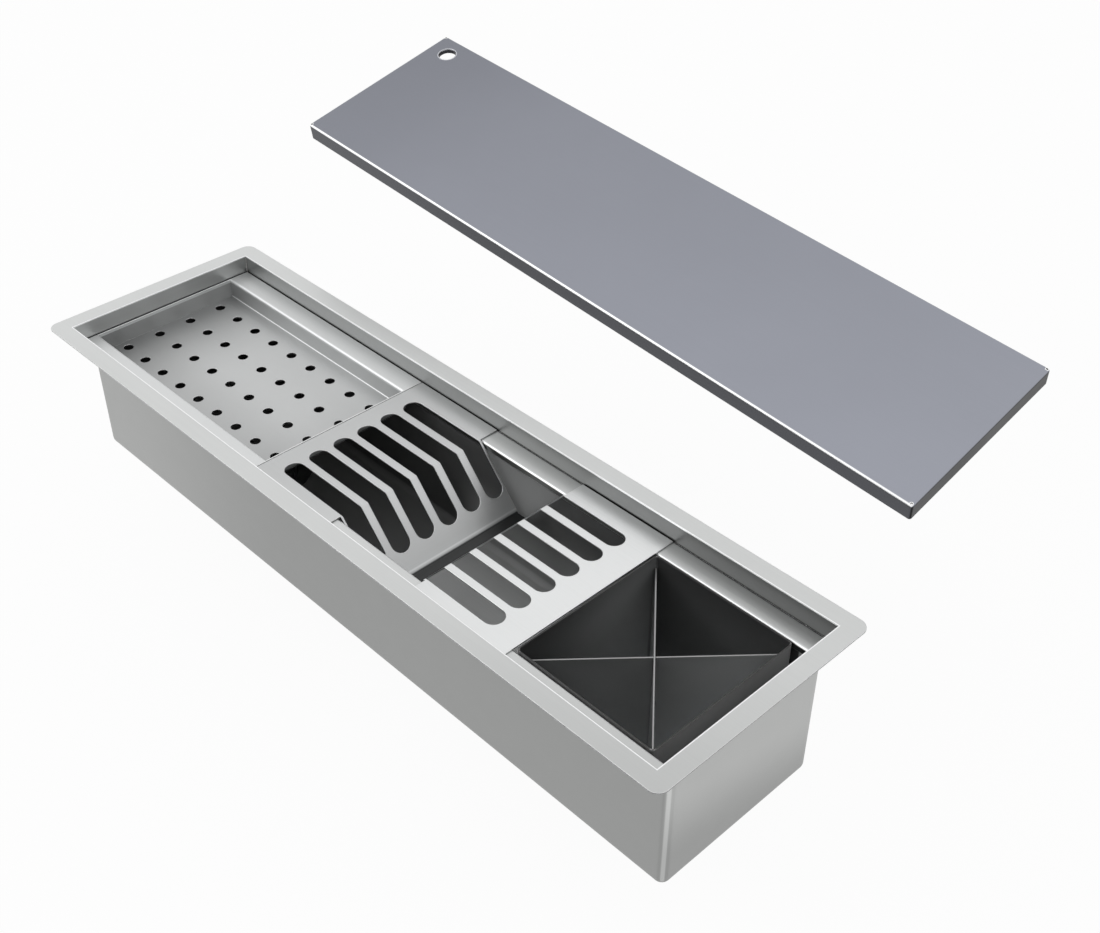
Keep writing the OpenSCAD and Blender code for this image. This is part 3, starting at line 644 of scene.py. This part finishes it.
class TROUGH_OT_bowl(bpy.types.Operator):
    """Satin steel for the bowl, outside and inside"""

    bl_idname = "trough.bowl"
    bl_label = "Bowl"

    def execute(self, context):
        steel = Steel("bowl_steel")
        nx, ny, nz = steel.facing
        x, y = steel.at[0], steel.at[1]
        outer = nx * x + ny * y - nz * BOWL_UNDERSIDE > 0.0
        colour = steel.mixed(outer, self.inside(steel), self.outside(steel))
        metallic = BOWL_METAL_INSIDE + outer * (1.0 - BOWL_METAL_INSIDE)
        roughness = BOWL_ROUGH_INSIDE - outer * BOWL_ROUGH_DROP
        dress(steel.finish(colour, roughness, metallic=metallic), "bowl")
        return {"FINISHED"}

    def inside(self, steel):
        """Painted shade under the tray, and painted light under the rack's open half, in the gap above its
        valley and at the right end.
        """
        x, y, z = steel.at
        low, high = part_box("plate_rack")
        gap_x = (low.x + high.x) / 2 - GAP_SHIFT
        above_slopes = z + GAP_DEPTH + (GAP_HALF - abs(x - gap_x)) * VALLEY_SLOPE
        above_valley = steel.ramp(above_slopes, -GAP_SOFT, GAP_SOFT)
        right = steel.ramp(x, *UNDER_TRAY_END)
        floor = FLOOR_UNDER_TRAY + right * (FLOOR_RIGHT - steel.fade(y, FLOOR_BACK))
        foot = steel.fade(z * -1.0, WALL_FOOT) * right
        gap = above_valley * (y > BACK_WALL_Y) * WALL_IN_GAP
        wall = WALL_DARK + foot + gap + steel.inside(0, *RIGHT_GAP) * WALL_AT_RIGHT
        upright = steel.upright()
        return steel.shaded(look().bowl_inside_colour, floor * (1.0 - upright) + wall * upright)

    def outside(self, steel):
        """Painted gradients of light along the faces and a thin painted highlight down each corner."""
        nx, ny = steel.facing[0], steel.facing[1]
        x, y, z = steel.at
        low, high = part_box("bowl")
        rise = (z - low.z) / (high.z - low.z)
        corner = abs(nx * ny) * 2.0
        # Painted highlight down each corner, with a little painted shade beside it
        corner_highlight = steel.fade(corner, CORNER_HIGHLIGHT) - steel.fade(corner, CORNER_DIM)
        front = FRONT_TONE + steel.fade(x * -1.0, FRONT_LEFT)
        end_wall = END_TONE + steel.fade(rise + y * END_SLANT, END_RISE)
        end = steel.ramp(abs(nx), *END_TURNED)
        return steel.shaded(look().bowl_colour, front * (1.0 - end) + end_wall * end + corner_highlight)


class TROUGH_OT_inserts(bpy.types.Operator):
    """Brushed steel for the drainer tray and the plate rack"""

    bl_idname = "trough.inserts"
    bl_label = "Tray and rack"

    def execute(self, context):
        self.tray()
        self.rack()
        return {"FINISHED"}

    def tray(self):
        """Painted shade on the pan and the hole walls, and painted highlights on the folds."""
        steel = Steel("tray_steel")
        low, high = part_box("drainer_tray")
        x, y, z = steel.at
        # Painted shade: the pan is darker than the flange, most at its left end, a little darker on its
        # right part and towards the front, and slightly on the walls
        pan = z < high.z - PAN_TOP
        left = steel.ramp(x, low.x, low.x + PAN_LEFT_W) * PAN_LEFT_LIGHT
        across = PAN_TONE + left - steel.fade(x, PAN_RIGHT)
        across = 1.0 + pan * (across * (1.0 - steel.fade(y * -1.0, PAN_FRONT)) - 1.0)
        upright = steel.upright()
        colour = steel.shaded(look().insert_colour, across * (1.0 - upright * TRAY_WALL_SHADE))
        # Painted shade on the hole walls, painted highlight on the folds
        hole_walls = upright * (z < low.z + LINE_W)
        colour = steel.mixed(steel.folds() * FOLD_SHINE, colour, look().highlight_colour)
        colour = steel.mixed(hole_walls, colour, look().dark_shade_colour)
        roughness = look().roughness + TRAY_ROUGHER + upright * TRAY_WALL_ROUGHER
        dress(steel.finish(colour, roughness), "drainer_tray")

    def rack(self):
        """Painted shade on the valley floor with a painted highlight line on its left, and painted light
        that rises to the right.
        """
        steel = Steel("rack_steel")
        low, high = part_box("plate_rack")
        middle = (low.x + high.x) / 2
        x, z = steel.at[0], steel.at[2]
        # Painted shade on the valley floor, a painted highlight line beside it, painted light rising to
        # the right and painted shade on the left slope
        valley = steel.inside(0, middle - VALLEY_BAND[0], middle + VALLEY_BAND[1], VALLEY_SOFT)
        line = steel.inside(0, middle - VALLEY_LINE[0], middle - VALLEY_LINE[1], VALLEY_LINE_SOFT)
        line = line * (z < high.z - VALLEY_LINE_TOP)
        tone = RACK_TONE + steel.ramp(x, low.x, high.x) * RACK_RISE
        slope = steel.inside(0, middle - LEFT_SLOPE_W, middle, LEFT_SLOPE_SOFT)
        tone = tone * (1.0 - slope * LEFT_SLOPE_SHADE)
        colour = steel.mixed(valley, steel.shaded(look().insert_colour, tone), look().valley_shade_colour)
        colour = steel.mixed(line * VALLEY_LINE_SHINE, colour, look().highlight_colour)
        dress(steel.finish(colour, look().roughness), "plate_rack")


class TROUGH_OT_caddy(bpy.types.Operator):
    """Painted shade inside the caddy, on its dividers and on the box's top edge, lighter divider edges,
    plain steel outside
    """

    bl_idname = "trough.caddy"
    bl_label = "Caddy"

    def execute(self, context):
        low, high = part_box("caddy_box")
        self.divider("divider_a", low, high, DIVIDER_A_RIGHT)
        self.divider("divider_b", low, high, 0.0)
        self.box(low, high)
        return {"FINISHED"}

    def divider(self, name, low, high, right_light):
        steel = Steel(name + "_steel")
        # The top edge keeps a lighter colour as painted light, the rest is painted shade
        edge = (steel.facing[2] > SQUARE_ON) * (steel.at[2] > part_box(name)[1].z - TOP_EDGE_H)
        right = steel.ramp(steel.at[0], (low.x + high.x) / 2 - DIVIDER_RIGHT_FROM, high.x) * right_light
        tone = (DIVIDER_TONE + right) * self.deep(steel, low, high)
        colour = steel.mixed(edge, steel.shaded(look().caddy_shade_colour, tone), look().lit_edge_colour)
        dress(steel.finish(colour, look().roughness, edge=0.0, metallic=CADDY_METAL), name)

    def box(self, low, high):
        steel = Steel("caddy_steel")
        middle = (low + high) / 2
        outward = steel.facing[0] * (steel.at[0] - middle.x) + steel.facing[1] * (steel.at[1] - middle.y)
        top = (steel.facing[2] > SQUARE_ON) * (steel.at[2] > high.z - TOP_EDGE_H)
        left_wall = CADDY_LEFT_TONE + steel.fade(steel.at[1], CADDY_LEFT_BACK)
        back = steel.ramp(steel.facing[1] * -1.0, *TURNED)
        left = steel.ramp(steel.facing[0], *TURNED)
        # Painted shade, less towards the floor, more on the back wall's inner face, and changing along the
        # left wall
        tone = self.deep(steel, low, high) * (1.0 - back * CADDY_BACK_SHADE)
        tone = tone * (1.0 + left * (left_wall - 1.0))
        inner = steel.mixed(top, steel.shaded(look().caddy_shade_colour, tone), look().caddy_edge_shade_colour)
        colour = steel.mixed(outward > 0.0, inner, look().caddy_outside_colour)
        dress(steel.finish(colour, look().roughness, edge=0.0, metallic=CADDY_METAL), "caddy_box")

    def deep(self, steel, low, high):
        """A tone that rises from the caddy's top edge down to its floor: painted light that evens out the
        shade deep in the box.
        """
        return CADDY_TOP_TONE + (high.z - steel.at[2]) / (high.z - low.z) * CADDY_DEPTH_RISE


class TROUGH_OT_lid(bpy.types.Operator):
    """Blue grey satin steel for the lid, with painted shade on its sides and below and a painted highlight
    on its front fold
    """

    bl_idname = "trough.lid"
    bl_label = "Lid"

    def execute(self, context):
        steel = Steel("lid_steel", LID_TILT, LID_CENTRE)
        top = steel.ramp(steel.facing[2], *LID_TOP_TURNED)
        far = steel.fade(steel.at[0] * -1.0, LID_FAR)
        # Painted light and shade across the top: lighter to the right, darker to the back and at the far
        # end
        tone = 1.0 + steel.at[0] * LID_RISE - steel.at[1] * LID_BACK_FALL - far
        across = steel.shaded(look().lid_colour, tone)
        # Painted shade on the folded sides, near black on the right end
        end = steel.ramp(steel.facing[0], *TURNED)
        sides = steel.shaded(look().lid_side_shade_colour, 1.0 - end * LID_END_SHADE)
        colour = steel.mixed(top, sides, across)
        # Painted highlight on the front fold
        fold = steel.ramp(steel.facing[1] * steel.facing[2] * -2.0, *TURNED)
        colour = steel.mixed(fold, colour, look().highlight_colour)
        colour = self.reliefs(steel, colour)
        dress(steel.finish(colour, look().roughness, LID_GRAIN, edge=LID_HIGHLIGHT), "lid")
        return {"FINISHED"}

    def reliefs(self, steel, colour):
        """A hole of painted shade in a ring of painted highlight where the folds meet at each corner."""
        half_l, half_w = LID_RELIEF
        off_x, off_y = abs(steel.at[0]) - half_l, abs(steel.at[1]) - half_w
        away = (off_x * off_x + off_y * off_y).root()
        colour = steel.mixed(away < RELIEF_RING, colour, look().highlight_colour)
        return steel.mixed(away < RELIEF_HOLE, colour, look().dark_shade_colour)


class TROUGH_OT_strainer(bpy.types.Operator):
    """Polished steel for the strainer and the waste cup"""

    bl_idname = "trough.strainer"
    bl_label = "Strainer and waste cup"

    def execute(self, context):
        steel = Steel("polished_steel")
        material = steel.finish(POLISHED_COLOUR, POLISHED_ROUGH, POLISHED_GRAIN)
        dress(material, "waste_flange", "waste_screw", "basket", "basket_knob")
        return {"FINISHED"}


class TROUGH_OT_fixings(bpy.types.Operator):
    """Zinc plating for the studs, nuts, clip arms and earth tab"""

    bl_idname = "trough.fixings"
    bl_label = "Fixings"

    def execute(self, context):
        zinc = Steel("zinc_steel")
        names = ["earth_tab", "clip_studs", "clip_nuts"] + ["clip_arm_%d" % (i + 1) for i in range(6)]
        dress(zinc.finish(ZINC_COLOUR, ZINC_ROUGH, ZINC_GRAIN), *names)
        return {"FINISHED"}


class TROUGH_OT_rubber(bpy.types.Operator):
    """Rubber for the sealing strip, gasket, strainer foot and sound pads, plastic for the waste body"""

    bl_idname = "trough.rubber"
    bl_label = "Rubber and plastic"

    def execute(self, context):
        for name, colour, rough, scale, nodes in RUBBERS:
            rubber = Finish(name)
            place = rubber.node("ShaderNodeTexCoord", {}, {}, "Object")
            pores = rubber.noise(place, scale, 3.0)
            dust = rubber.noise(place, DUST_SCALE, 4.0)
            dusty = tuple(DUST_PALER * part for part in colour)
            tone = rubber.mixed(rubber.fade(dust, DUST), colour, dusty)
            bumped = rubber.node("ShaderNodeBump", {},
                                 {"Strength": PORE_STRENGTH, "Distance": PORE_RELIEF, "Height": pores})
            dress(rubber.surface(tone, rough + (dust - 0.5) * DUST_ROUGH, 0.0, bumped), *nodes)
        return {"FINISHED"}


def stud_places():
    """Where the six studs stand, from the box that holds them."""
    low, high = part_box("clip_studs")
    radius = threads().stud_radius
    across = (low.x + radius, (low.x + high.x) / 2, high.x - radius)
    return [(x, y) for y in (low.y + radius, high.y - radius) for x in across]


class TROUGH_OT_studs(bpy.types.Operator):
    """Threaded studs with a welding collar, in place of the plain ones"""

    bl_idname = "trough.studs"
    bl_label = "Threaded studs"

    def execute(self, context):
        low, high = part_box("clip_studs")
        sizes = threads()
        steps = int((high.z - low.z - STUD_COLLAR - STUD_TIP) / sizes.stud_pitch * TURN_RINGS)
        start, fall = high.z - STUD_COLLAR, sizes.stud_pitch / TURN_RINGS
        heights = [high.z, high.z - STUD_COLLAR * STUD_COLLAR_EDGE]
        heights += [start - fall * step for step in range(steps + 1)]
        heights.append(low.z)
        last = len(heights) - 1

        def radius(ring, turn):
            if ring < len(STUD_COLLAR_OUT):
                return sizes.stud_radius * STUD_COLLAR_OUT[ring]
            if ring == last:
                return sizes.stud_radius - sizes.stud_depth * STUD_TIP_DEPTH
            climb = (heights[ring] / sizes.stud_pitch - turn) % 1.0
            return sizes.stud_radius - sizes.stud_depth * abs(climb - 0.5) * 2.0

        def stud(x, y):
            def point(ring, turn):
                out = radius(ring, turn)
                return (x + out * math.cos(math.tau * turn), y + out * math.sin(math.tau * turn),
                        heights[ring])
            return skin(len(heights), STUD_SIDES, point, ends=True)

        material = bpy.data.materials["zinc_steel"]
        made = piece("threaded_studs", [stud(x, y) for x, y in stud_places()], "trough",
                     material)
        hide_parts("clip_studs")
        return {"FINISHED"}


class TROUGH_OT_nuts(bpy.types.Operator):
    """Hexagon nuts with chamfered corners, in place of the plain ones"""

    bl_idname = "trough.nuts"
    bl_label = "Nuts"

    def execute(self, context):
        low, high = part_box("clip_nuts")
        sizes = threads()
        flat, chamfer = sizes.nut_flats / 2, sizes.nut_chamfer
        bore, face, corner = sizes.stud_radius * NUT_BORE, flat * NUT_FACE, flat * NUT_CORNER
        section = ((low.z, bore), (low.z, face), (low.z + chamfer, corner),
                   (high.z - chamfer, corner), (high.z, face), (high.z, bore), (low.z, bore))

        def nut(x, y):
            def point(ring, turn):
                height, reach = section[ring]
                side = (turn * 6.0) % 1.0 - 0.5
                out = min(reach, flat / math.cos(side * math.pi / 3))
                return (x + out * math.cos(math.tau * turn), y + out * math.sin(math.tau * turn), height)
            return skin(len(section), NUT_SIDES, point)

        material = bpy.data.materials["zinc_steel"]
        made = piece("hexagon_nuts", [nut(x, y) for x, y in stud_places()], "trough",
                     material, crease=25.0)
        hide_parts("clip_nuts")
        return {"FINISHED"}


class TROUGH_OT_welds(bpy.types.Operator):
    """Rippled weld beads in the four upright corners of the rebate"""

    bl_idname = "trough.welds"
    bl_label = "Weld beads"

    def execute(self, context):
        sizes = threads()
        length = -LEDGE_TOP - BEAD_END
        rings = int(length / sizes.bead_ripple * BEAD_RINGS)
        inset = sizes.bead_radius * BEAD_INSET

        def bead(side_x, side_y):
            x = side_x * (INNER_HALF[0] - inset)
            y = side_y * (INNER_HALF[1] - inset)

            def point(ring, turn):
                down = ring / (rings - 1) * length
                ripple = abs((down / sizes.bead_ripple) % 1.0 - 0.5)
                out = sizes.bead_radius * (BEAD_WAIST + BEAD_SWELL * ripple)
                return (x + out * math.cos(math.tau * turn), y + out * math.sin(math.tau * turn),
                        BEAD_START - down)
            return skin(rings, BEAD_SIDES, point, ends=True)

        steel = Steel("weld_steel")
        tint = steel.mixed(steel.noise(steel.place, WELD_TINT_SCALE, 3.0), *WELD_COLOURS)
        material = steel.finish(tint, WELD_ROUGH, WELD_GRAIN, edge=WELD_HIGHLIGHT)
        beads = [bead(side_x, side_y) for side_x in (-1, 1) for side_y in (-1, 1)]
        piece("rebate_welds", beads, "trough", material, crease=60.0)
        return {"FINISHED"}


class TROUGH_OT_outlet(bpy.types.Operator):
    """Moulded waste body with a cut thread on its spigot, in place of the plain one"""

    bl_idname = "trough.outlet"
    bl_label = "Threaded outlet"

    def execute(self, context):
        low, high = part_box("waste_body")
        x = (low.x + high.x) / 2
        pitch, depth = threads().outlet_pitch, threads().outlet_depth
        radius, top = BODY_ABOVE[-1]
        steps = int((top - low.z - pitch / 2) / pitch * TURN_RINGS)
        thread = [(None, top - pitch / TURN_RINGS * step) for step in range(1, steps)]
        foot = ((radius - depth, low.z + pitch / 4), (radius - depth * OUTLET_FOOT_DEPTH, low.z))
        body = BODY_ABOVE + tuple(thread) + foot + BODY_BELOW

        def turned(section, sides):
            def point(ring, turn):
                out, height = section[ring]
                if out is None:
                    climb = (height / pitch - turn) % 1.0
                    out = radius - depth * (1.0 - min(1.0, abs(climb - 0.5) * OUTLET_FLANK))
                return x + out * math.cos(math.tau * turn), out * math.sin(math.tau * turn), height
            return skin(len(section), sides, point)

        def web(turn):
            rotation = Matrix.Rotation(math.tau * turn, 3, "Z")
            centre = Vector((x, 0, 0))
            (near, far), (right, left), heights = BODY_WEB
            outline = ((near, right), (far, right), (far, left), (near, left))
            points = [rotation @ Vector((*corner, height)) + centre
                      for height in heights for corner in outline]
            sides = [(i, (i + 1) % 4, (i + 1) % 4 + 4, i + 4) for i in range(4)]
            return points, sides + [(3, 2, 1, 0), (4, 5, 6, 7)]

        skins = [turned(body, OUTLET_SIDES), turned(BODY_BOSS, BOSS_SIDES)]
        skins += [web(turn / 3) for turn in range(3)]
        made = piece("threaded_waste_body", skins, "trough",
                     bpy.data.materials["waste_plastic"])
        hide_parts("waste_body")
        return {"FINISHED"}


class TROUGH_OT_pad_squares(bpy.types.Operator):
    """Raised squares moulded on the undersides of the sound pads"""

    bl_idname = "trough.pad_squares"
    bl_label = "Pad squares"

    def execute(self, context):
        for name in ("sound_pad_left", "sound_pad_right"):
            low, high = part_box(name)
            piece(name + "_squares", self.squares(low, high), "trough",
                  bpy.data.materials["pad_rubber"])
        return {"FINISHED"}

    def squares(self, low, high):
        sizes = threads()
        margin = sizes.pad_square
        along = int((high.x - low.x - 2 * margin) / sizes.pad_pitch)
        across = int((high.y - low.y - 2 * margin) / sizes.pad_pitch)
        first_x = (low.x + high.x - (along - 1) * sizes.pad_pitch) / 2
        first_y = (low.y + high.y - (across - 1) * sizes.pad_pitch) / 2
        made = []
        for column in range(along):
            for row in range(across):
                x, y = first_x + column * sizes.pad_pitch, first_y + row * sizes.pad_pitch
                points = []
                for height, half in ((low.z, sizes.pad_square / 2),
                                     (low.z - sizes.pad_relief, sizes.pad_square / 2 - sizes.pad_relief)):
                    points += [(x + half * a, y + half * b, height)
                               for a, b in ((-1, -1), (1, -1), (1, 1), (-1, 1))]
                faces = [(i, (i + 1) % 4, (i + 1) % 4 + 4, i + 4) for i in range(4)] + [(4, 5, 6, 7)]
                made.append((points, faces))
        return made


class TROUGH_OT_finger_edge(bpy.types.Operator):
    """Rolled edge that lines the lid's finger hole"""

    bl_idname = "trough.finger_edge"
    bl_label = "Finger hole edge"

    def execute(self, context):
        radius, depth = threads().finger_radius, threads().finger_depth
        foot_in, foot_out = (EDGE_RINGS[0][0], -depth), (EDGE_RINGS[-1][0], -depth)
        section = (foot_in,) + EDGE_RINGS + (foot_out, foot_in)
        turn_lid = Euler(LID_TILT, "XYZ").to_matrix()
        centre = Vector(LID_CENTRE)

        def point(ring, turn):
            share, height = section[ring]
            out = radius * share
            local = Vector((FINGER_HOLE[0] + out * math.cos(math.tau * turn),
                            FINGER_HOLE[1] + out * math.sin(math.tau * turn), height))
            return turn_lid @ local + centre

        steel = Steel("finger_edge_steel", LID_TILT, LID_CENTRE)
        # Painted shade on the edge below its lip, lighter steel above
        colour = steel.mixed(steel.at[2] > EDGE_DARK_BELOW, *EDGE_COLOURS)
        material = steel.finish(colour, EDGE_ROUGH, EDGE_GRAIN, edge=0.0)
        edge = skin(len(section), EDGE_SIDES, point)
        piece("finger_hole_edge", [edge], "lid", material, crease=50.0)
        return {"FINISHED"}


def camera():
    """The photograph's camera."""
    data = bpy.data.cameras.new("photo_camera")
    data.sensor_fit = "HORIZONTAL"
    data.sensor_width = SENSOR_W
    data.lens = FOCAL_PX * SENSOR_W / IMAGE_W
    data.clip_start = CLIP_START
    data.clip_end = CLIP_END
    made = bpy.data.objects.new("photo_camera", data)
    bpy.context.scene.collection.objects.link(made)
    turn = Matrix.Rotation(CAMERA_TURN.length, 3, CAMERA_TURN.normalized())
    right, down, ahead = turn[0], turn[1], turn[2]
    facing = Matrix((right, -Vector(down), -Vector(ahead))).transposed()
    made.matrix_world = Matrix.Translation(CAMERA_EYE) @ facing.to_4x4()
    bpy.context.scene.camera = made


class TROUGH_OT_stage(bpy.types.Operator):
    """Camera, plain pale floor, soft surround and one long lamp"""

    bl_idname = "trough.stage"
    bl_label = "Stage"

    def execute(self, context):
        camera()
        self.floor()
        self.surround()
        self.lamp("key_lamp", KEY_PLACE, KEY_SIZE, studio().key_strength)
        context.scene.view_settings.view_transform = "Standard"
        return {"FINISHED"}

    def seen(self, finish):
        """1 for what the camera sees, straight or in metal or glass."""
        path = finish.node("ShaderNodeLightPath", {}, {}, "Is Camera Ray")
        return path | path.also("Is Glossy Ray") | path.also("Is Transmission Ray")

    def floor(self):
        half = studio().floor_size / 2
        low = CAD_BOX[0].z - FLOOR_GAP
        mesh = bpy.data.meshes.new("floor")
        corners = [(-half, -half, low), (half, -half, low), (half, half, low), (-half, half, low)]
        mesh.from_pydata(corners, [], [(0, 1, 2, 3)])
        made = bpy.data.objects.new("floor", mesh)
        bpy.context.scene.collection.objects.link(made)
        finish = Finish("floor_finish")
        matt = finish.node("ShaderNodeBsdfDiffuse", {}, {"Color": studio().floor_colour})
        white = finish.node("ShaderNodeEmission", {}, {"Color": (1.0, 1.0, 1.0), "Strength": 1.0})
        share = self.seen(finish) * studio().floor_white
        both = finish.node("ShaderNodeMixShader", {}, {0: share, 1: matt, 2: white})
        finish.node("ShaderNodeOutputMaterial", {}, {"Surface": both})
        mesh.materials.append(finish.material)

    def surround(self):
        world = bpy.data.worlds.new("studio")
        bpy.context.scene.world = world
        sky = Finish("studio_light", world)
        share = self.seen(sky)
        strength = share + (1.0 - share) * studio().surround
        light = sky.node("ShaderNodeBackground", {}, {"Color": (1.0, 1.0, 1.0), "Strength": strength})
        sky.node("ShaderNodeOutputWorld", {}, {"Surface": light})

    def lamp(self, name, place, size, power):
        data = bpy.data.lights.new(name, "AREA")
        data.shape = "RECTANGLE"
        data.size, data.size_y = size
        data.energy = power
        made = bpy.data.objects.new(name, data)
        made.location = place
        made.rotation_euler = (LAMP_AIM - Vector(place)).to_track_quat("-Z", "Y").to_euler()
        bpy.context.scene.collection.objects.link(made)


class TROUGH_PT_panel(bpy.types.Panel):
    """Lists the sink's finishes and its studio"""

    bl_idname = "TROUGH_PT_panel"
    bl_label = "Trough Sink"
    bl_space_type = "VIEW_3D"
    bl_region_type = "UI"
    bl_category = "Trough Sink"

    def draw(self, context):
        for group in (look(), threads(), studio()):
            for name in group.__annotations__:
                self.layout.prop(group, name)
        for step in STEPS:
            self.layout.operator(step.bl_idname)


STEPS = (
    TROUGH_OT_rim, TROUGH_OT_bowl, TROUGH_OT_inserts, TROUGH_OT_caddy, TROUGH_OT_lid,
    TROUGH_OT_strainer, TROUGH_OT_fixings, TROUGH_OT_rubber, TROUGH_OT_studs, TROUGH_OT_nuts,
    TROUGH_OT_welds, TROUGH_OT_outlet, TROUGH_OT_pad_squares, TROUGH_OT_finger_edge, TROUGH_OT_stage,
)
CLASSES = (SinkLook, ThreadSizes, StudioSetup) + STEPS + (TROUGH_PT_panel,)


def register():
    for each in CLASSES:
        bpy.utils.register_class(each)
    bpy.types.Scene.trough_look = bpy.props.PointerProperty(type=SinkLook)
    bpy.types.Scene.trough_threads = bpy.props.PointerProperty(type=ThreadSizes)
    bpy.types.Scene.trough_studio = bpy.props.PointerProperty(type=StudioSetup)


def unregister():
    del bpy.types.Scene.trough_studio
    del bpy.types.Scene.trough_threads
    del bpy.types.Scene.trough_look
    for each in reversed(CLASSES):
        bpy.utils.unregister_class(each)


def main():
    register()
    bpy.ops.trough.stage()
    bpy.ops.trough.rim()
    bpy.ops.trough.bowl()
    bpy.ops.trough.inserts()
    bpy.ops.trough.caddy()
    bpy.ops.trough.lid()
    bpy.ops.trough.strainer()
    bpy.ops.trough.fixings()
    bpy.ops.trough.rubber()
    bpy.ops.trough.studs()
    bpy.ops.trough.nuts()
    bpy.ops.trough.welds()
    bpy.ops.trough.outlet()
    bpy.ops.trough.pad_squares()
    bpy.ops.trough.finger_edge()


if __name__ == "__main__":
    main()
